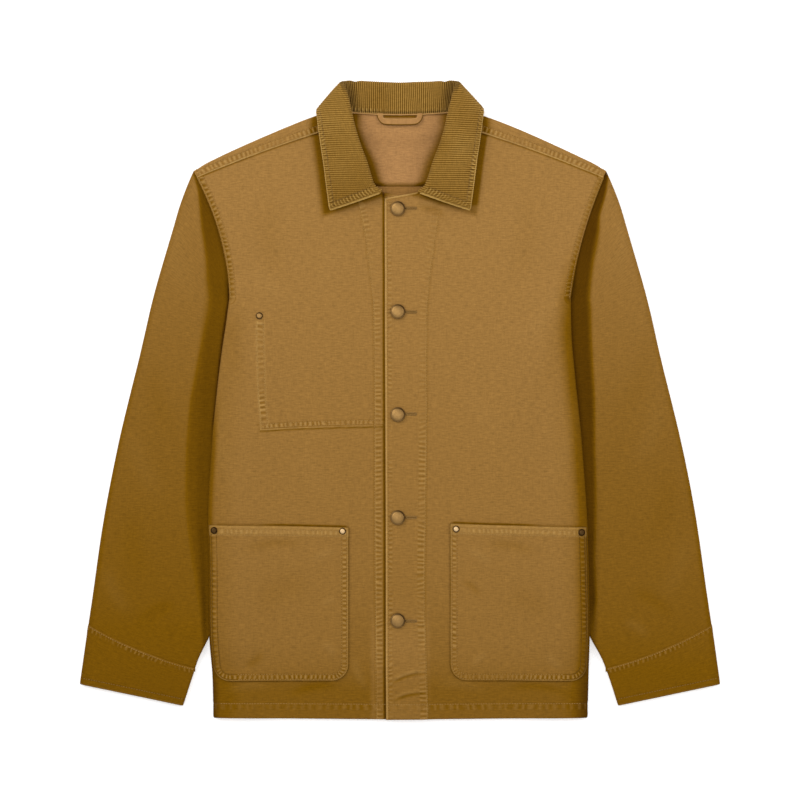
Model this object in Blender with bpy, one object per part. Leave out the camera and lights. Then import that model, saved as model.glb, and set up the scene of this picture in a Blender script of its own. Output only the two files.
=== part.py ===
"""A canvas chore jacket with a corduroy collar, buttoned and laid flat on its back.

The jacket lies on the plane Z = 0 with its hem towards -Y and its collar towards +Y. Left and right are
the wearer's: left is +X. Tables and sizes are in millimetres, and the meshes are made in metres.

Each piece of cloth is a closed wall with an outer and an inner face. The fronts turn under at both sides
of the body, the back's own cloth lies doubled inside each turn, and the sleeves are flattened tubes whose
inner edges tuck under the body. A table holds one side of the jacket, as distances from the centre line,
and a side of +1 or -1 places it on the wearer's left or right.
"""

import math

import bpy
import numpy as np

MM = 0.001  # metres in a millimetre
LEFT, RIGHT = 1, -1  # the wearer's sides, as signs of X
SIDE_NAMES = {LEFT: "left", RIGHT: "right"}

# Cloth and gaps
CLOTH = 1.5  # wall of one layer of canvas
SEAM = 0.3  # gap between neighbouring pieces
ARMHOLE_GAP = 0.6  # gap along the armhole, where two curves meet
PATCH_GAP = 0.6  # gap under what lies on a curved panel
CORDUROY = 2.6  # wall of the collar, which is corduroy over canvas

# Lengths of the body
HEM_Y = -378.6
PLACKET_HEM_Y = -380.8  # the doubled front edge hangs a little lower than the hem
YOKE_SEAM_Y = 255.0
UNDERARM = (203.0, 121.4)
SHOULDER_TIP = (246.2, 272.8)
ARMHOLE_BOW = 10.0  # how far the armhole curves towards the body from a straight line
ARMHOLE_FRONT_END = 0.943  # the share of the armhole, from the underarm, that the front takes
UNDERARM_TUCK = 10.0  # how far the sleeve runs in under the front at the underarm
UNDERARM_TUCK_SHARE = 0.22  # the share of the armhole over which that tuck dies out
BACK_SEAM_SHIFT = 3.0  # the back's seams lie this far from the front's, so that no gap goes right through
BACK_SHIFT_START = 0.1  # the share of the armhole over which that shift grows
BACK_SHIFT_STOP = 0.97  # and the share at which it is gone
BACK_SHIFT_FADE = 0.2

# Heights of the outer faces above the surface that the jacket lies on
MIDDLE_TOP = 6.3
SIDE_TOP = 9.0
ARMHOLE_TOP = 6.9
YOKE_TOP = 7.4
OVERLAP_RISE = 2.3  # the left front lies over the right front
OVERLAP_WIDTH = 22.0  # as far as this beyond the centre line
OVERLAP_FALL = 24.0  # and comes down to it over this width
SIDE_RISE_START = 95.0  # this far in from the fold the face starts to rise to the side's height
SIDE_RISE_WIDTH = 60.0
SIDE_TOP_START = 20.0  # and the side's height grows from this far above the underarm
SIDE_TOP_FADE = 60.0

# The turned-under sides
TURN_WIDTH = 44.0  # from the side fold to the side seam underneath
ROLL_TOP_WIDTH = 26.0  # how far in from the fold the top starts to fall
ROLL_UNDER_WIDTH = 6.0
ARMHOLE_CLEARANCE = 4.0  # above the underarm the roll would end this far outside the armhole
ARMHOLE_CLEARANCE_FADE = 45.0
ROLL_POINTS = 25  # points of a row's dense path over each half of the roll
STRIP_POINTS = 30  # and along the turned-under strip
FLAT_POINTS = 60  # points of a row's dense path before the roll
ROLL_MARKS = (90.0, 72.0, 56.0, 42.0, 29.0, 19.0, 11.0, 5.0, 1.5)  # distances from the fold
UNDER_MARKS = (0.05, 0.17, 0.64, 0.76, 0.88, 1.0)  # shares of the way from the fold to the seam
MIDDLE_SHARES = np.array([0.0, 0.12, 0.23, 0.36, 0.56, 0.78])  # shares of the way to the first of the marks
LEAST_UNDER = 2.0  # the least that a row goes on past its fold
LAST_MARK = 1.6  # distance of a row's last point before its fold
TURN_TOP_Y = 78.0  # below this the side is turned under at its whole width
SLEEVE_LIFT = 3.8  # the body's edge lies on the sleeve's tucked edge
LIFT_START = 42.0  # under the body the lift starts this far in from the fold
LIFT_WIDTH = 13.0
TOP_LIFT_START = 88.0  # on top it starts further in and rises more softly
TOP_LIFT_WIDTH = 58.0
LIFT_LOW_Y = -325.0  # level at which the lift begins, and the height over which it grows
LIFT_LOW_FADE = 42.0
LIFT_HIGH_Y = 30.0  # above the underarm, where it has died out
LIFT_HIGH_FADE = 25.0

# The back's cloth inside a turned-under side
TURN_END_CLEARANCE = 1.0  # from the hem
TURN_END_RADIUS = 2.0
TURN_TOP_LEVEL = 66.0
TURN_DEPTHS = (41.0, 38.5, 34.0, 29.5, 22.0, 13.0)  # distances of its points from the fold
TURN_EDGE = 1.6  # thickness of its inner edge
NOSE = 2.0  # how far its rounded side reaches towards the fold
NOSE_HALF = 0.8
HEM_GROOVE = 2.0  # depth of the groove between its two layers at the hem end
INNER_GROOVE = 0.8  # and further in

# Level, and the distance of the body's side fold from the centre line
BODY_SIDE = (
    # y, right_x, left_x
    (121.4, 203.0, 203.0),
    (70.0, 210.6, 204.6),
    (20.0, 216.5, 209.3),
    (-60.0, 224.0, 217.3),
    (-140.0, 228.6, 222.8),
    (-200.0, 227.6, 224.4),
    (-285.0, 226.6, 225.8),
    (-330.0, 223.4, 224.8),
    (-381.0, 222.5, 223.7),
)

# The rows of a front panel: where each starts on the front edge or neckline, and its level at the side.
# On the armhole the level is given as the share of the armhole's length from the underarm.
FRONT_ROWS = (
    # start_x, start_y, side_y, armhole_share
    (-16.5, PLACKET_HEM_Y, HEM_Y, None),
    (-17.0, -313.0, -317.0, None),
    (-17.0, -286.0, -292.0, None),
    (-17.0, -258.0, -267.0, None),
    (-17.0, -215.0, -228.0, None),
    (-17.1, -145.0, -160.0, None),
    (-17.4, -62.0, -82.0, None),
    (-17.7, 20.0, -8.0, None),
    (-18.0, 85.0, 46.0, None),
    (-18.0, 110.0, TURN_TOP_Y, None),
    (-18.0, 125.0, 92.0, None),
    (-18.0, 138.0, 104.0, None),
    (-18.0, 148.0, 113.0, None),
    (-18.1, 158.0, None, 0.0),
    (-18.2, 178.0, None, 0.12),
    (-18.3, 206.0, None, 0.3),
    (-18.4, 240.4, None, 0.48),
    (19.5, 247.2, None, 0.57),
    (39.0, 255.0, None, 0.665),
    (55.0, 269.5, None, 0.76),
    (69.0, 286.0, None, 0.85),
    (78.5, 305.0, None, 0.91),
    (83.5, 322.0, None, ARMHOLE_FRONT_END),
)
SHOULDER_BOW = 2.6  # how far the forward shoulder seam bows up from a straight line

# The shoulder fold, which is the jacket's outline
SHOULDER_FOLD = (
    # x, y
    (76.0, 346.4),
    (100.0, 338.8),
    (160.0, 315.0),
    (205.0, 294.5),
    (232.0, 281.0),
    (246.2, 272.8),
)
FOLD_REACH = 7.0  # depth of the rounding along the shoulder fold
FOLD_SHARE = 0.8  # and the most of it where the yoke's front strip is narrow
NECK_POINT_X = 84.0  # where the forward shoulder seam meets the neckline
NECK_FOLD_X = 77.0  # where the neckline passes over the shoulder fold
BACK_NECK_Y = 340.0
BACK_NECK_RISE = 4.0  # the neckline climbs this much from its middle to the shoulder fold
YOKE_LINES = (
    # x, at_armhole
    (0.0, 0.0),
    (30.0, 0.0),
    (60.0, 0.0),
    (NECK_FOLD_X, 0.0),
    (80.5, 0.0),
    (NECK_POINT_X, 0.0),
    (98.0, 0.0),
    (118.0, 0.0),
    (160.0, 0.0),
    (205.0, 0.0),
    (226.0, 0.3),
    (234.0, 1.0),
)
YOKE_KNEE_AFTER_START = 4.0  # the dense points of a line end this far after its start
YOKE_KNEE_AFTER_FOLD = 8.0  # or this far after the fold

# Where the points of the armhole's edge lie, as shares of its length from the underarm
ARMHOLE_MARKS = (0.0, 0.015, 0.12, 0.21, 0.30, 0.39, 0.48, 0.57, 0.665, 0.76, 0.85, 0.943)
ARMHOLE_UNDER_MARKS = (0.983, 0.85, 0.66, 0.44, 0.22, 0.018)

# The sleeve's outline
SLEEVE_OUTER = (
    # y, x
    (272.8, 246.2),
    (257.0, 253.0),
    (233.8, 261.8),
    (202.3, 271.0),
    (119.0, 295.1),
    (59.5, 308.8),
    (-59.5, 337.4),
    (-119.0, 349.3),
    (-238.0, 367.1),
    (-267.5, 371.6),
    (-338.6, 381.7),
)
SLEEVE_TUCK = (
    # y, how far the sleeve's inner edge lies inside the body's side fold
    (121.4, UNDERARM_TUCK),
    (100.0, 15.0),
    (60.0, 23.5),
    (-120.0, 26.0),
    (-200.0, 22.0),
    (-250.0, 12.0),
    (-285.0, 0.0),
    (-314.0, -17.0),
    (-331.0, -24.5),
    (-364.2, -36.0),
)
SLEEVE_STATIONS = (
    # outer_y, inner_y
    (272.8, 121.4),
    (262.0, 121.0),
    (245.0, 119.6),
    (220.0, 115.5),
    (200.0, 111.0),
    (175.0, 105.0),
    (145.0, 96.0),
    (110.0, 82.0),
    (70.0, 58.0),
    (10.0, 8.0),
    (-65.0, -65.0),
    (-135.0, -137.0),
    (-185.0, -195.0),
    (-225.0, -250.0),
    (-250.0, -290.0),
    (-267.3, -319.3),
)
CUFF_STATIONS = (
    # outer_y, inner_y
    SLEEVE_STATIONS[-1],
    (-290.0, -335.0),
    (-315.0, -350.0),
    (-338.6, -364.2),
)
CUFF_GAP = 0.6  # gap along the cuff seam, whose two rims are skewed
CUFF_SEAM_LEAD = 1.2  # the cuff seam of the lower layer lies this much nearer the shoulder
CUFF_SEAM_BOW = 5.0  # the cuff seam curves this far towards the hem
SLEEVE_TOP = 6.6
RIDGE_TOP = 8.8  # the crease beside the body
RIDGE_WIDTH = 42.0
RIDGE_LEVELS = (240.0, 60.0, -330.0, 60.0)  # where it ends above, over what height, and the same below
VALLEY_TOP = 3.4
VALLEY_RIM = 0.6  # how far the sleeve's edge lies below its top where there is no valley
VALLEY_LEVELS = (168.0, 45.0, -330.0, 40.0)
VALLEY_FLOOR = 0.3  # the share of the way to the crease that stays low
RIDGE_GAP_UNDERARM = 28.0  # from the body's side fold to the crease
RIDGE_GAP_CUFF = 10.0
SLEEVE_EDGE_WIDTH = 9.0  # the rounding of the outer fold
SLEEVE_EDGE_MARKS = (5.0, 1.6, 0.0)  # distances from it
LEAST_TUCK = 3.0
TUCK_EDGE = 2.4  # width of the tucked edge's rounding
CREASE_MARKS = (0.0, 0.3, 0.6, 0.85)  # shares of the way from the body's side to the crease
FAN_STATIONS = (2.0, 6.0)  # the station at which the fan starts to close, and the stations it takes
BOW_STATIONS = 6.0
CUFF_BOWS = (1.0, 0.6, 0.2, 0.0)  # shares of the seam's curve at the cuff's stations
SLEEVE_END_BOWS = (0.3, 0.7, 1.0)

# The collar: its neck seam, fold line and outer edge at stations from the front end to the centre back
COLLAR_STATIONS = (
    # seam_x, seam_y, seam_z, fold_x, fold_y, fold_z, edge_x, edge_y, edge_z
    (24.0, 246.6, 11.6, 21.0, 248.2, 15.5, 83.9, 224.4, 13.0),
    (41.5, 257.6, 11.2, 30.5, 263.0, 18.5, 86.3, 242.6, 13.6),
    (57.5, 272.0, 10.6, 40.0, 283.0, 21.0, 88.9, 263.4, 14.2),
    (71.0, 288.0, 10.2, 48.0, 303.0, 23.0, 91.6, 285.0, 14.6),
    (79.5, 306.5, 9.9, 54.5, 325.0, 24.5, 94.9, 308.2, 14.6),
    (83.0, 323.0, 9.6, 58.6, 342.0, 24.5, 97.2, 325.2, 14.0),
    (80.5, 337.5, 9.0, 62.4, 360.0, 22.5, 98.9, 337.4, 12.0),
    (75.5, 345.2, 7.6, 65.2, 371.8, 17.5, 99.4, 342.8, 8.4),
    (68.5, 346.0, 6.6, 66.2, 377.6, 11.5, 97.8, 345.2, 5.0),
    (61.0, 343.2, 6.0, 62.5, 378.8, 7.4, 90.0, 342.4, 2.4),
    (48.0, 341.8, 5.9, 49.0, 378.6, 5.0, 72.0, 335.5, 2.0),
    (26.0, 340.9, 5.8, 26.5, 377.6, 4.4, 40.0, 325.5, 1.9),
    (0.0, 340.6, 5.8, 0.0, 377.2, 4.4, 0.0, 321.0, 1.9),
)
COLLAR_ROLL = 2.6  # radius of the fold, at the middle of the wall
ROLL_ANGLES = (-90.0, -30.0, 30.0)  # degrees round the fold, from the stand's side
LEAF_SHARES = (0.5, 1.0)
LEAF_CROWN = 1.6  # how far the leaf bows up between its fold and its edge
WALE_PITCH = 3.2
WALE_RISE = 0.3  # each way from the mean face
PLAIN_SIDE_STEP = 6  # face stations to one station on the plain side
LEAF_LIFT = 4.1  # the back neck lies on the collar's leaf
LEAF_LIFT_Y = 299.0  # where that lift starts on the centre line
LEAF_LIFT_RISE = 21.0  # and how much nearer the shoulder it starts beside the neck
LEAF_LIFT_FADE = 18.0
LEAF_HALF_WIDTH = 90.0
LEAF_LIFT_END_X = 122.0  # the lift has died out here
LEAF_LIFT_END_FADE = 16.0

# Lower pockets, as distances from the centre line
POCKET_TOP_Y = -150.0
POCKET_BOTTOM_Y = -332.8
POCKET_INNER_X = 61.0
POCKET_CORNER = 20.0
POCKET_EDGE_INSET = 2.4  # the outer edge stops just short of the body's side fold
POCKET_HEM = 11.5  # width of the turned mouth
POCKET_HEM_RISE = 0.7
MOUTH_SLACK = 1.0  # how far the mouth stands off the front
SLACK_SHARE = 0.3  # the share of the pocket's height over which it closes
SLACK_POWER = 0.7
POCKET_HEM_STEP = 0.8  # height of the step below the turned mouth
POCKET_LEVELS = (-195.0, -228.0, -267.0, -292.0)
POCKET_SHARES = (0.0, 0.12, 0.4, 0.7)  # shares of the way from the inner edge to where the side rolls
POCKET_LEAST_STEP = 0.05

# Chest pocket, inside the right front
CHEST_TOP_Y = 103.0
CHEST_BOTTOM_Y = -34.0
CHEST_OUTER_X = 168.0
CHEST_INNER_X = 22.0

# Buttons and rivets
BUTTON_X = -2.6
BUTTON_TOP_Y = 227.6
BUTTON_PITCH = 122.5
BUTTON_COUNT = 5
BUTTON_PROFILE = (
    # radius, height
    (0.0, 0.0),
    (7.4, 0.2),
    (8.85, 1.6),
    (7.9, 2.7),
    (4.6, 4.1),
    (0.0, 4.6),
)
RIVET_PROFILE = (
    # radius, height
    (0.0, 0.0),
    (4.4, 0.2),
    (3.6, 1.2),
    (2.6, 1.0),
    (1.6, 1.8),
    (0.0, 1.9),
)
BUTTON_SEGMENTS = 16
RIVET_SEGMENTS = 10
RIVET_CLEARANCE = 0.9  # over the pocket's outer face
LOWER_RIVETS = (
    # name, side, x, y
    ("rivet_1", RIGHT, 68.6, -155.8),
    ("rivet_2", RIGHT, 220.0, -154.0),
    ("rivet_3", LEFT, 67.2, -155.0),
    ("rivet_4", LEFT, 216.0, -156.0),
)
CHEST_RIVET = (167.1, 100.0)

# Hanger loop
LOOP_HALF_WIDTH = 25.5
LOOP_TOP_Y = 339.4
LOOP_DROP = 9.5
LOOP_CORNER = 5.0
LOOP_BAND = 5.0
LOOP_THICKNESS = 1.6
LOOP_CLEARANCE = 0.4
LOOP_RISE = 1.6  # its lower edge stands off this much
LOOP_SAG = 0.6

# Colours: red, green, blue, roughness, metallic
CANVAS = (0.38, 0.195, 0.046, 0.85, 0.0)
CANVAS_INSIDE = (0.46, 0.25, 0.095, 0.88, 0.0)
CORD = (0.33, 0.165, 0.036, 0.8, 0.0)
BRASS = (0.42, 0.25, 0.09, 0.4, 1.0)


# ---------------------------------------------------------------- small tools


def ease(value):
    """0 below 0, 1 above 1, and a smooth rise between."""
    held = np.clip(value, 0.0, 1.0)
    return held * held * (3.0 - 2.0 * held)


def column(table, index):
    return np.array([row[index] for row in table], float)


def curve(at, knots, values):
    """A smooth curve through (knots, values): cubic pieces whose slopes are those of their neighbours."""
    order = np.argsort(knots)
    knots = np.asarray(knots, float)[order]
    values = np.asarray(values, float)[order]
    slopes = np.gradient(values, knots)
    at = np.clip(np.asarray(at, float), knots[0], knots[-1])
    piece = np.clip(np.searchsorted(knots, at, side="right") - 1, 0, len(knots) - 2)
    width = knots[piece + 1] - knots[piece]
    share = (at - knots[piece]) / width
    square, cube = share**2, share**3
    return (
        (2 * cube - 3 * square + 1) * values[piece]
        + (cube - 2 * square + share) * width * slopes[piece]
        + (3 * square - 2 * cube) * values[piece + 1]
        + (cube - square) * width * slopes[piece + 1]
    )


def material(name, finish):
    made = bpy.data.materials.new(name)
    made.use_nodes = True
    shader = made.node_tree.nodes["Principled BSDF"]
    red, green, blue, roughness, metallic = finish
    shader.inputs["Base Color"].default_value = (red, green, blue, 1.0)
    shader.inputs["Roughness"].default_value = roughness
    shader.inputs["Metallic"].default_value = metallic
    made.diffuse_color = (red, green, blue, 1.0)
    return made


def add_object(name, points, faces, finish, sharp=50):
    """One closed mesh object from points in millimetres, with its faces turned outwards. Edges that turn
    by more than sharp degrees are shaded as sharp ones."""
    points = np.asarray(points, float)
    volume = 0.0
    for face in faces:
        for second, third in zip(face[1:-1], face[2:]):
            volume += np.linalg.det(points[[face[0], second, third]])
    if volume < 0:
        faces = [tuple(reversed(face)) for face in faces]
    mesh = bpy.data.meshes.new(name)
    mesh.from_pydata([tuple(point) for point in points * MM], [], faces)
    mesh.materials.append(finish)
    mesh.shade_smooth()
    mesh.set_sharp_from_angle(angle=math.radians(sharp))
    made = bpy.data.objects.new(name, mesh)
    bpy.context.scene.collection.objects.link(made)
    return made


def grid_faces(rows, columns, first, wrap=False):
    """Quads of a grid whose points start at index first. With wrap, the last column joins the first."""
    faces = []
    for row in range(rows - 1):
        for col in range(columns if wrap else columns - 1):
            after = (col + 1) % columns
            a = first + row * columns + col
            b = first + row * columns + after
            faces.append((a, b, b + columns, a + columns))
    return faces


def wall(name, outer, inner, finish, wrap=False):
    """A closed wall between two grids of points of one shape. With wrap, the grid is an open-ended tube."""
    rows, columns = outer.shape[:2]
    count = rows * columns
    points = np.concatenate([outer.reshape(-1, 3), inner.reshape(-1, 3)])
    faces = grid_faces(rows, columns, 0, wrap)
    faces += [tuple(reversed(face)) for face in grid_faces(rows, columns, count, wrap)]
    rims = [list(range(columns)), [(rows - 1) * columns + col for col in range(columns)]]
    if wrap:
        rims = [rim + rim[:1] for rim in rims]
    else:
        rims.append([row * columns for row in range(rows)][::-1])
        rims.append([row * columns + columns - 1 for row in range(rows)])
    rims[1].reverse()
    for rim in rims:
        for a, b in zip(rim[:-1], rim[1:]):
            faces.append((b, a, a + count, b + count))
    return add_object(name, points, faces, finish)


def mirrored(points, side):
    placed = np.array(points, float)
    placed[..., 0] *= side
    return placed


def normals_of(grid):
    """Unit normals of a grid of points, from its two directions."""
    along = np.gradient(grid, axis=0)
    across = np.gradient(grid, axis=1)
    normal = np.cross(along, across)
    return normal / np.linalg.norm(normal, axis=-1, keepdims=True)


# ---------------------------------------------------------------- lines of the jacket


def armhole(share):
    """The armhole in plan, from the underarm (0) to the shoulder tip (1): a line that bows to the body."""
    share = np.asarray(share, float)
    x = UNDERARM[0] + share * (SHOULDER_TIP[0] - UNDERARM[0])
    y = UNDERARM[1] + share * (SHOULDER_TIP[1] - UNDERARM[1])
    return x - ARMHOLE_BOW * 4.0 * share * (1.0 - share), y


def body_edge(y, side):
    """Distance of the body's side from the centre line: its fold, and above the underarm its armhole."""
    y = np.asarray(y, float)
    fold = curve(y, column(BODY_SIDE, 0), column(BODY_SIDE, 2 if side == LEFT else 1))
    share = np.clip((y - UNDERARM[1]) / (SHOULDER_TIP[1] - UNDERARM[1]), 0.0, 1.0)
    return np.where(y > UNDERARM[1], armhole(share)[0], fold)


def fold_edge(y, side):
    """Where the side's roll would end: at the fold, and well outside the armhole above the underarm."""
    beyond = ROLL_TOP_WIDTH + ARMHOLE_CLEARANCE
    return body_edge(y, side) + beyond * ease((y - UNDERARM[1]) / ARMHOLE_CLEARANCE_FADE)


def side_top(y):
    """Height of the outer face beside the roll."""
    grown = ease((UNDERARM[1] + SIDE_TOP_START - y) / SIDE_TOP_FADE)
    return ARMHOLE_TOP + (SIDE_TOP - ARMHOLE_TOP) * grown


def lift(inside, y, start=LIFT_START, width=LIFT_WIDTH):
    """How far the sleeve's tucked edge raises the body, at a distance inside the side fold."""
    along = ease((y - LIFT_LOW_Y) / LIFT_LOW_FADE)
    along = along * ease((UNDERARM[1] + LIFT_HIGH_Y - y) / LIFT_HIGH_FADE)
    return SLEEVE_LIFT * along * ease((start - inside) / width)


def back_shift(share):
    """How far the back's armhole lies inside the front's, at a share of its length from the underarm."""
    near = (UNDERARM_TUCK + SEAM) * ease(1.0 - share / UNDERARM_TUCK_SHARE)
    grown = ease(share / BACK_SHIFT_START) * ease((BACK_SHIFT_STOP - share) / BACK_SHIFT_FADE)
    return np.maximum(near, BACK_SEAM_SHIFT * grown)


def shoulder_seam(x):
    """Level of the forward shoulder seam: a straight line with a slight bow."""
    front_x, front_y = armhole(ARMHOLE_FRONT_END)
    start_x, start_y = FRONT_ROWS[-1][:2]
    share = np.clip((x - start_x) / (front_x - start_x), 0.0, 1.0)
    return start_y + (front_y - start_y) * share + SHOULDER_BOW * 4.0 * share * (1.0 - share)


def front_top(x, y, side):
    """Height of a front's outer face at a distance x from the centre line."""
    inside = fold_edge(y, side) - x
    height = MIDDLE_TOP + (side_top(y) - MIDDLE_TOP) * ease((SIDE_RISE_START - inside) / SIDE_RISE_WIDTH)
    if side == LEFT:
        height = height + OVERLAP_RISE * (1.0 - ease((x - OVERLAP_WIDTH) / OVERLAP_FALL))
    fall = np.clip(1.0 - inside / ROLL_TOP_WIDTH, 0.0, 1.0)
    half = side_top(y) / 2.0
    height = height - half * (1.0 - np.sqrt(1.0 - fall**2))
    return height + lift(inside, y, TOP_LIFT_START, TOP_LIFT_WIDTH)


def on_front(x, y, side):
    """Points of a front's outer face and the normals there."""
    points = np.stack([x, y, front_top(x, y, side)], axis=-1)
    step = 0.2
    slope_x = (front_top(x + step, y, side) - front_top(x - step, y, side)) / (2 * step)
    slope_y = (front_top(x, y + step, side) - front_top(x, y - step, side)) / (2 * step)
    normal = np.stack([-slope_x, -slope_y, np.ones_like(x)], axis=-1)
    return points, normal / np.linalg.norm(normal, axis=-1, keepdims=True)


# ---------------------------------------------------------------- body


def front_path(row, side):
    """The outer face of one row of a front, from the front edge over the side fold to the side seam, as
    dense points with the length to each, and the lengths at which the panel's points lie."""
    start_x, start_y, side_y, share = row
    end_x, end_y = armhole(share) if share is not None else (body_edge(side_y, side), side_y)
    edge = float(fold_edge(end_y, side))
    half = float(side_top(end_y)) / 2.0
    flat_x = np.linspace(start_x, edge - ROLL_TOP_WIDTH, FLAT_POINTS)
    over = np.linspace(math.pi / 2, 0.0, ROLL_POINTS)[1:]
    under = np.linspace(0.0, math.pi / 2, ROLL_POINTS)[1:]
    over_x = edge - ROLL_TOP_WIDTH * (1.0 - np.cos(over))
    under_x = edge - ROLL_UNDER_WIDTH * (1.0 - np.cos(under))
    strip_x = np.linspace(edge - ROLL_UNDER_WIDTH, edge - TURN_WIDTH, STRIP_POINTS)[1:]
    x = np.concatenate([flat_x, over_x, under_x, strip_x])
    y = start_y + (end_y - start_y) / (end_x - start_x) * (x - start_x)
    if share is not None:
        along = np.clip((x - start_x) / (end_x - start_x), 0.0, 1.0)
        y += SHOULDER_BOW * ease((share - 0.5) / (ARMHOLE_FRONT_END - 0.5)) * 4.0 * along * (1.0 - along)
    turned_z = np.concatenate([half + half * np.sin(over), half - half * np.sin(under), 0.0 * strip_x])
    turned_z += lift(edge - x[FLAT_POINTS:], end_y)
    z = np.concatenate([front_top(flat_x, y[:FLAT_POINTS], side), turned_z])
    points = np.stack([x, y, z], axis=1)
    length = np.concatenate([[0.0], np.cumsum(np.linalg.norm(np.diff(points, axis=0), axis=1))])
    last = FLAT_POINTS + len(over)
    marks = [np.interp(edge - mark, x[:last], length[:last]) for mark in ROLL_MARKS]
    if share:
        stop = np.interp(end_x - ARMHOLE_GAP, x[:last], length[:last])
        fold = stop - LEAST_UNDER
        last_mark = fold - LAST_MARK
        marks = np.interp(marks, [marks[0], marks[-1]], [marks[0] - marks[-1] + last_mark, last_mark])
    else:
        turned = ease((UNDERARM[1] - end_y) / (UNDERARM[1] - TURN_TOP_Y))
        fold = length[last - 1]
        stop = fold + LEAST_UNDER + turned * (length[-1] - fold - LEAST_UNDER)
    at = np.concatenate([
        marks[0] * MIDDLE_SHARES,
        marks,
        [fold],
        fold + (stop - fold) * np.array(UNDER_MARKS),
    ])
    return points, length, at


def path_normals(points):
    """Normals in the vertical plane of each point of a row, to its outer side."""
    along = np.gradient(points, axis=0)
    plan = np.hypot(along[:, 0], along[:, 1])
    plan = np.where(along[:, 0] < 0, -plan, plan)
    size = np.hypot(plan, along[:, 2])
    lean = np.stack([along[:, 0], along[:, 1]], axis=1) / np.maximum(np.abs(plan), 1e-6)[:, None]
    lean *= np.sign(plan)[:, None]
    up = plan / size
    out = -along[:, 2] / size
    return np.stack([out * lean[:, 0], out * lean[:, 1], up], axis=1)


def front_panel(side, finish):
    """A front: from the front edge over the body, round the side fold and under it to the side seam."""
    outer, inner = [], []
    for row in FRONT_ROWS:
        points, length, at = front_path(row, side)
        facing = path_normals(points)
        face = np.stack([np.interp(at, length, points[:, axis]) for axis in range(3)], axis=1)
        facing = np.stack([np.interp(at, length, facing[:, axis]) for axis in range(3)], axis=1)
        facing /= np.linalg.norm(facing, axis=1, keepdims=True)
        outer.append(face)
        inner.append(face - CLOTH * facing)
    return wall(f"front_{SIDE_NAMES[side]}", mirrored(outer, side), mirrored(inner, side), finish)


def back_side(side):
    """The back's side edge from hem to yoke seam: beside the side seam under the turn, clear of the
    sleeve's tucked edge, and beside the armhole above the underarm."""
    rings = np.array(SLEEVE_STATIONS)[::-1, 1]
    tucks = body_edge(rings, side) - curve(rings, column(SLEEVE_TUCK, 0), column(SLEEVE_TUCK, 1))
    line = []
    for row in FRONT_ROWS:
        if not row[3]:
            points, length, at = front_path(row, side)
            x, y = [np.interp(at[-1], length, points[:, axis]) for axis in range(2)]
            line.append((min(x - SEAM, float(np.interp(y, rings, tucks)) - 2 * ARMHOLE_GAP), y))
    for share in ARMHOLE_UNDER_MARKS[::-1]:
        x, y = armhole(share)
        if line[-1][1] + 1.0 < y < YOKE_SEAM_Y - 1.0:
            line.append((x - float(back_shift(share)) - ARMHOLE_GAP, y))
    share = (YOKE_SEAM_Y - SEAM / 2 - UNDERARM[1]) / (SHOULDER_TIP[1] - UNDERARM[1])
    line.append((armhole(share)[0] - float(back_shift(share)) - ARMHOLE_GAP - SEAM, YOKE_SEAM_Y - SEAM / 2))
    return np.array(line)


def back_panel(finish):
    """The back: flat on the surface from side seam to side seam, and to the armholes above the underarm."""
    left, right = back_side(LEFT), back_side(RIGHT) * (-1.0, 1.0)
    outer = []
    middle = np.column_stack([0.0 * left[:, 0], (left[:, 1] + right[:, 1]) / 2])
    for share in np.linspace(0.0, 1.0, 5):
        outer.append(right + (middle - right) * share)
    for share in np.linspace(0.0, 1.0, 5)[1:]:
        outer.append(middle + (left - middle) * share)
    outer = np.stack(outer, axis=1)
    outer = np.concatenate([outer, np.zeros_like(outer[..., :1])], axis=-1)
    return wall("back", outer, outer + (0.0, 0.0, CLOTH), finish)


def side_turn(side, finish):
    """The back's two layers inside a turned-under side, as one rounded solid, grooved at its hem end."""
    end = HEM_Y + TURN_END_CLEARANCE
    between = [row[2] for row in FRONT_ROWS[1:] if row[2] is not None and row[2] < TURN_TOP_LEVEL]
    levels = np.array([end, end + TURN_END_RADIUS, *between, TURN_TOP_LEVEL])
    inside = np.array(TURN_DEPTHS)
    rings = []
    for y in levels:
        x = float(fold_edge(y, side)) - inside
        level = np.full_like(x, y)
        points, normals = on_front(x, level, side)
        top = points - normals * (CLOTH + 3 * SEAM)
        bottom = np.stack([x, level, CLOTH + 3 * SEAM + lift(inside, y)], axis=1)
        top[0, 2] = bottom[0, 2] + TURN_EDGE
        middle = (top[-1, 2] + bottom[-1, 2]) / 2.0
        groove = HEM_GROOVE if y == end else INNER_GROOVE
        nose = np.array([
            [x[-1] + NOSE, y, middle + NOSE_HALF],
            [x[-1] + NOSE - groove, y, middle],
            [x[-1] + NOSE, y, middle - NOSE_HALF],
        ])
        rings.append(np.concatenate([top, nose, bottom[::-1]]))
    rings = mirrored(rings, side)
    rows, columns = rings.shape[:2]
    faces = grid_faces(rows, columns, 0, wrap=True)
    faces.append(tuple(range(columns))[::-1])
    faces.append(tuple((rows - 1) * columns + col for col in range(columns)))
    return add_object(f"side_turn_{SIDE_NAMES[side]}", rings.reshape(-1, 3), faces, finish)


# ---------------------------------------------------------------- yoke


def leaf_lift(x, y):
    """How far the collar's leaf, lying underneath, raises the back neck."""
    start = LEAF_LIFT_Y + LEAF_LIFT_RISE * (np.abs(x) / LEAF_HALF_WIDTH) ** 2
    across = ease((LEAF_LIFT_END_X - np.abs(x)) / LEAF_LIFT_END_FADE)
    return LEAF_LIFT * ease((y - start) / LEAF_LIFT_FADE) * across


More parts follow.
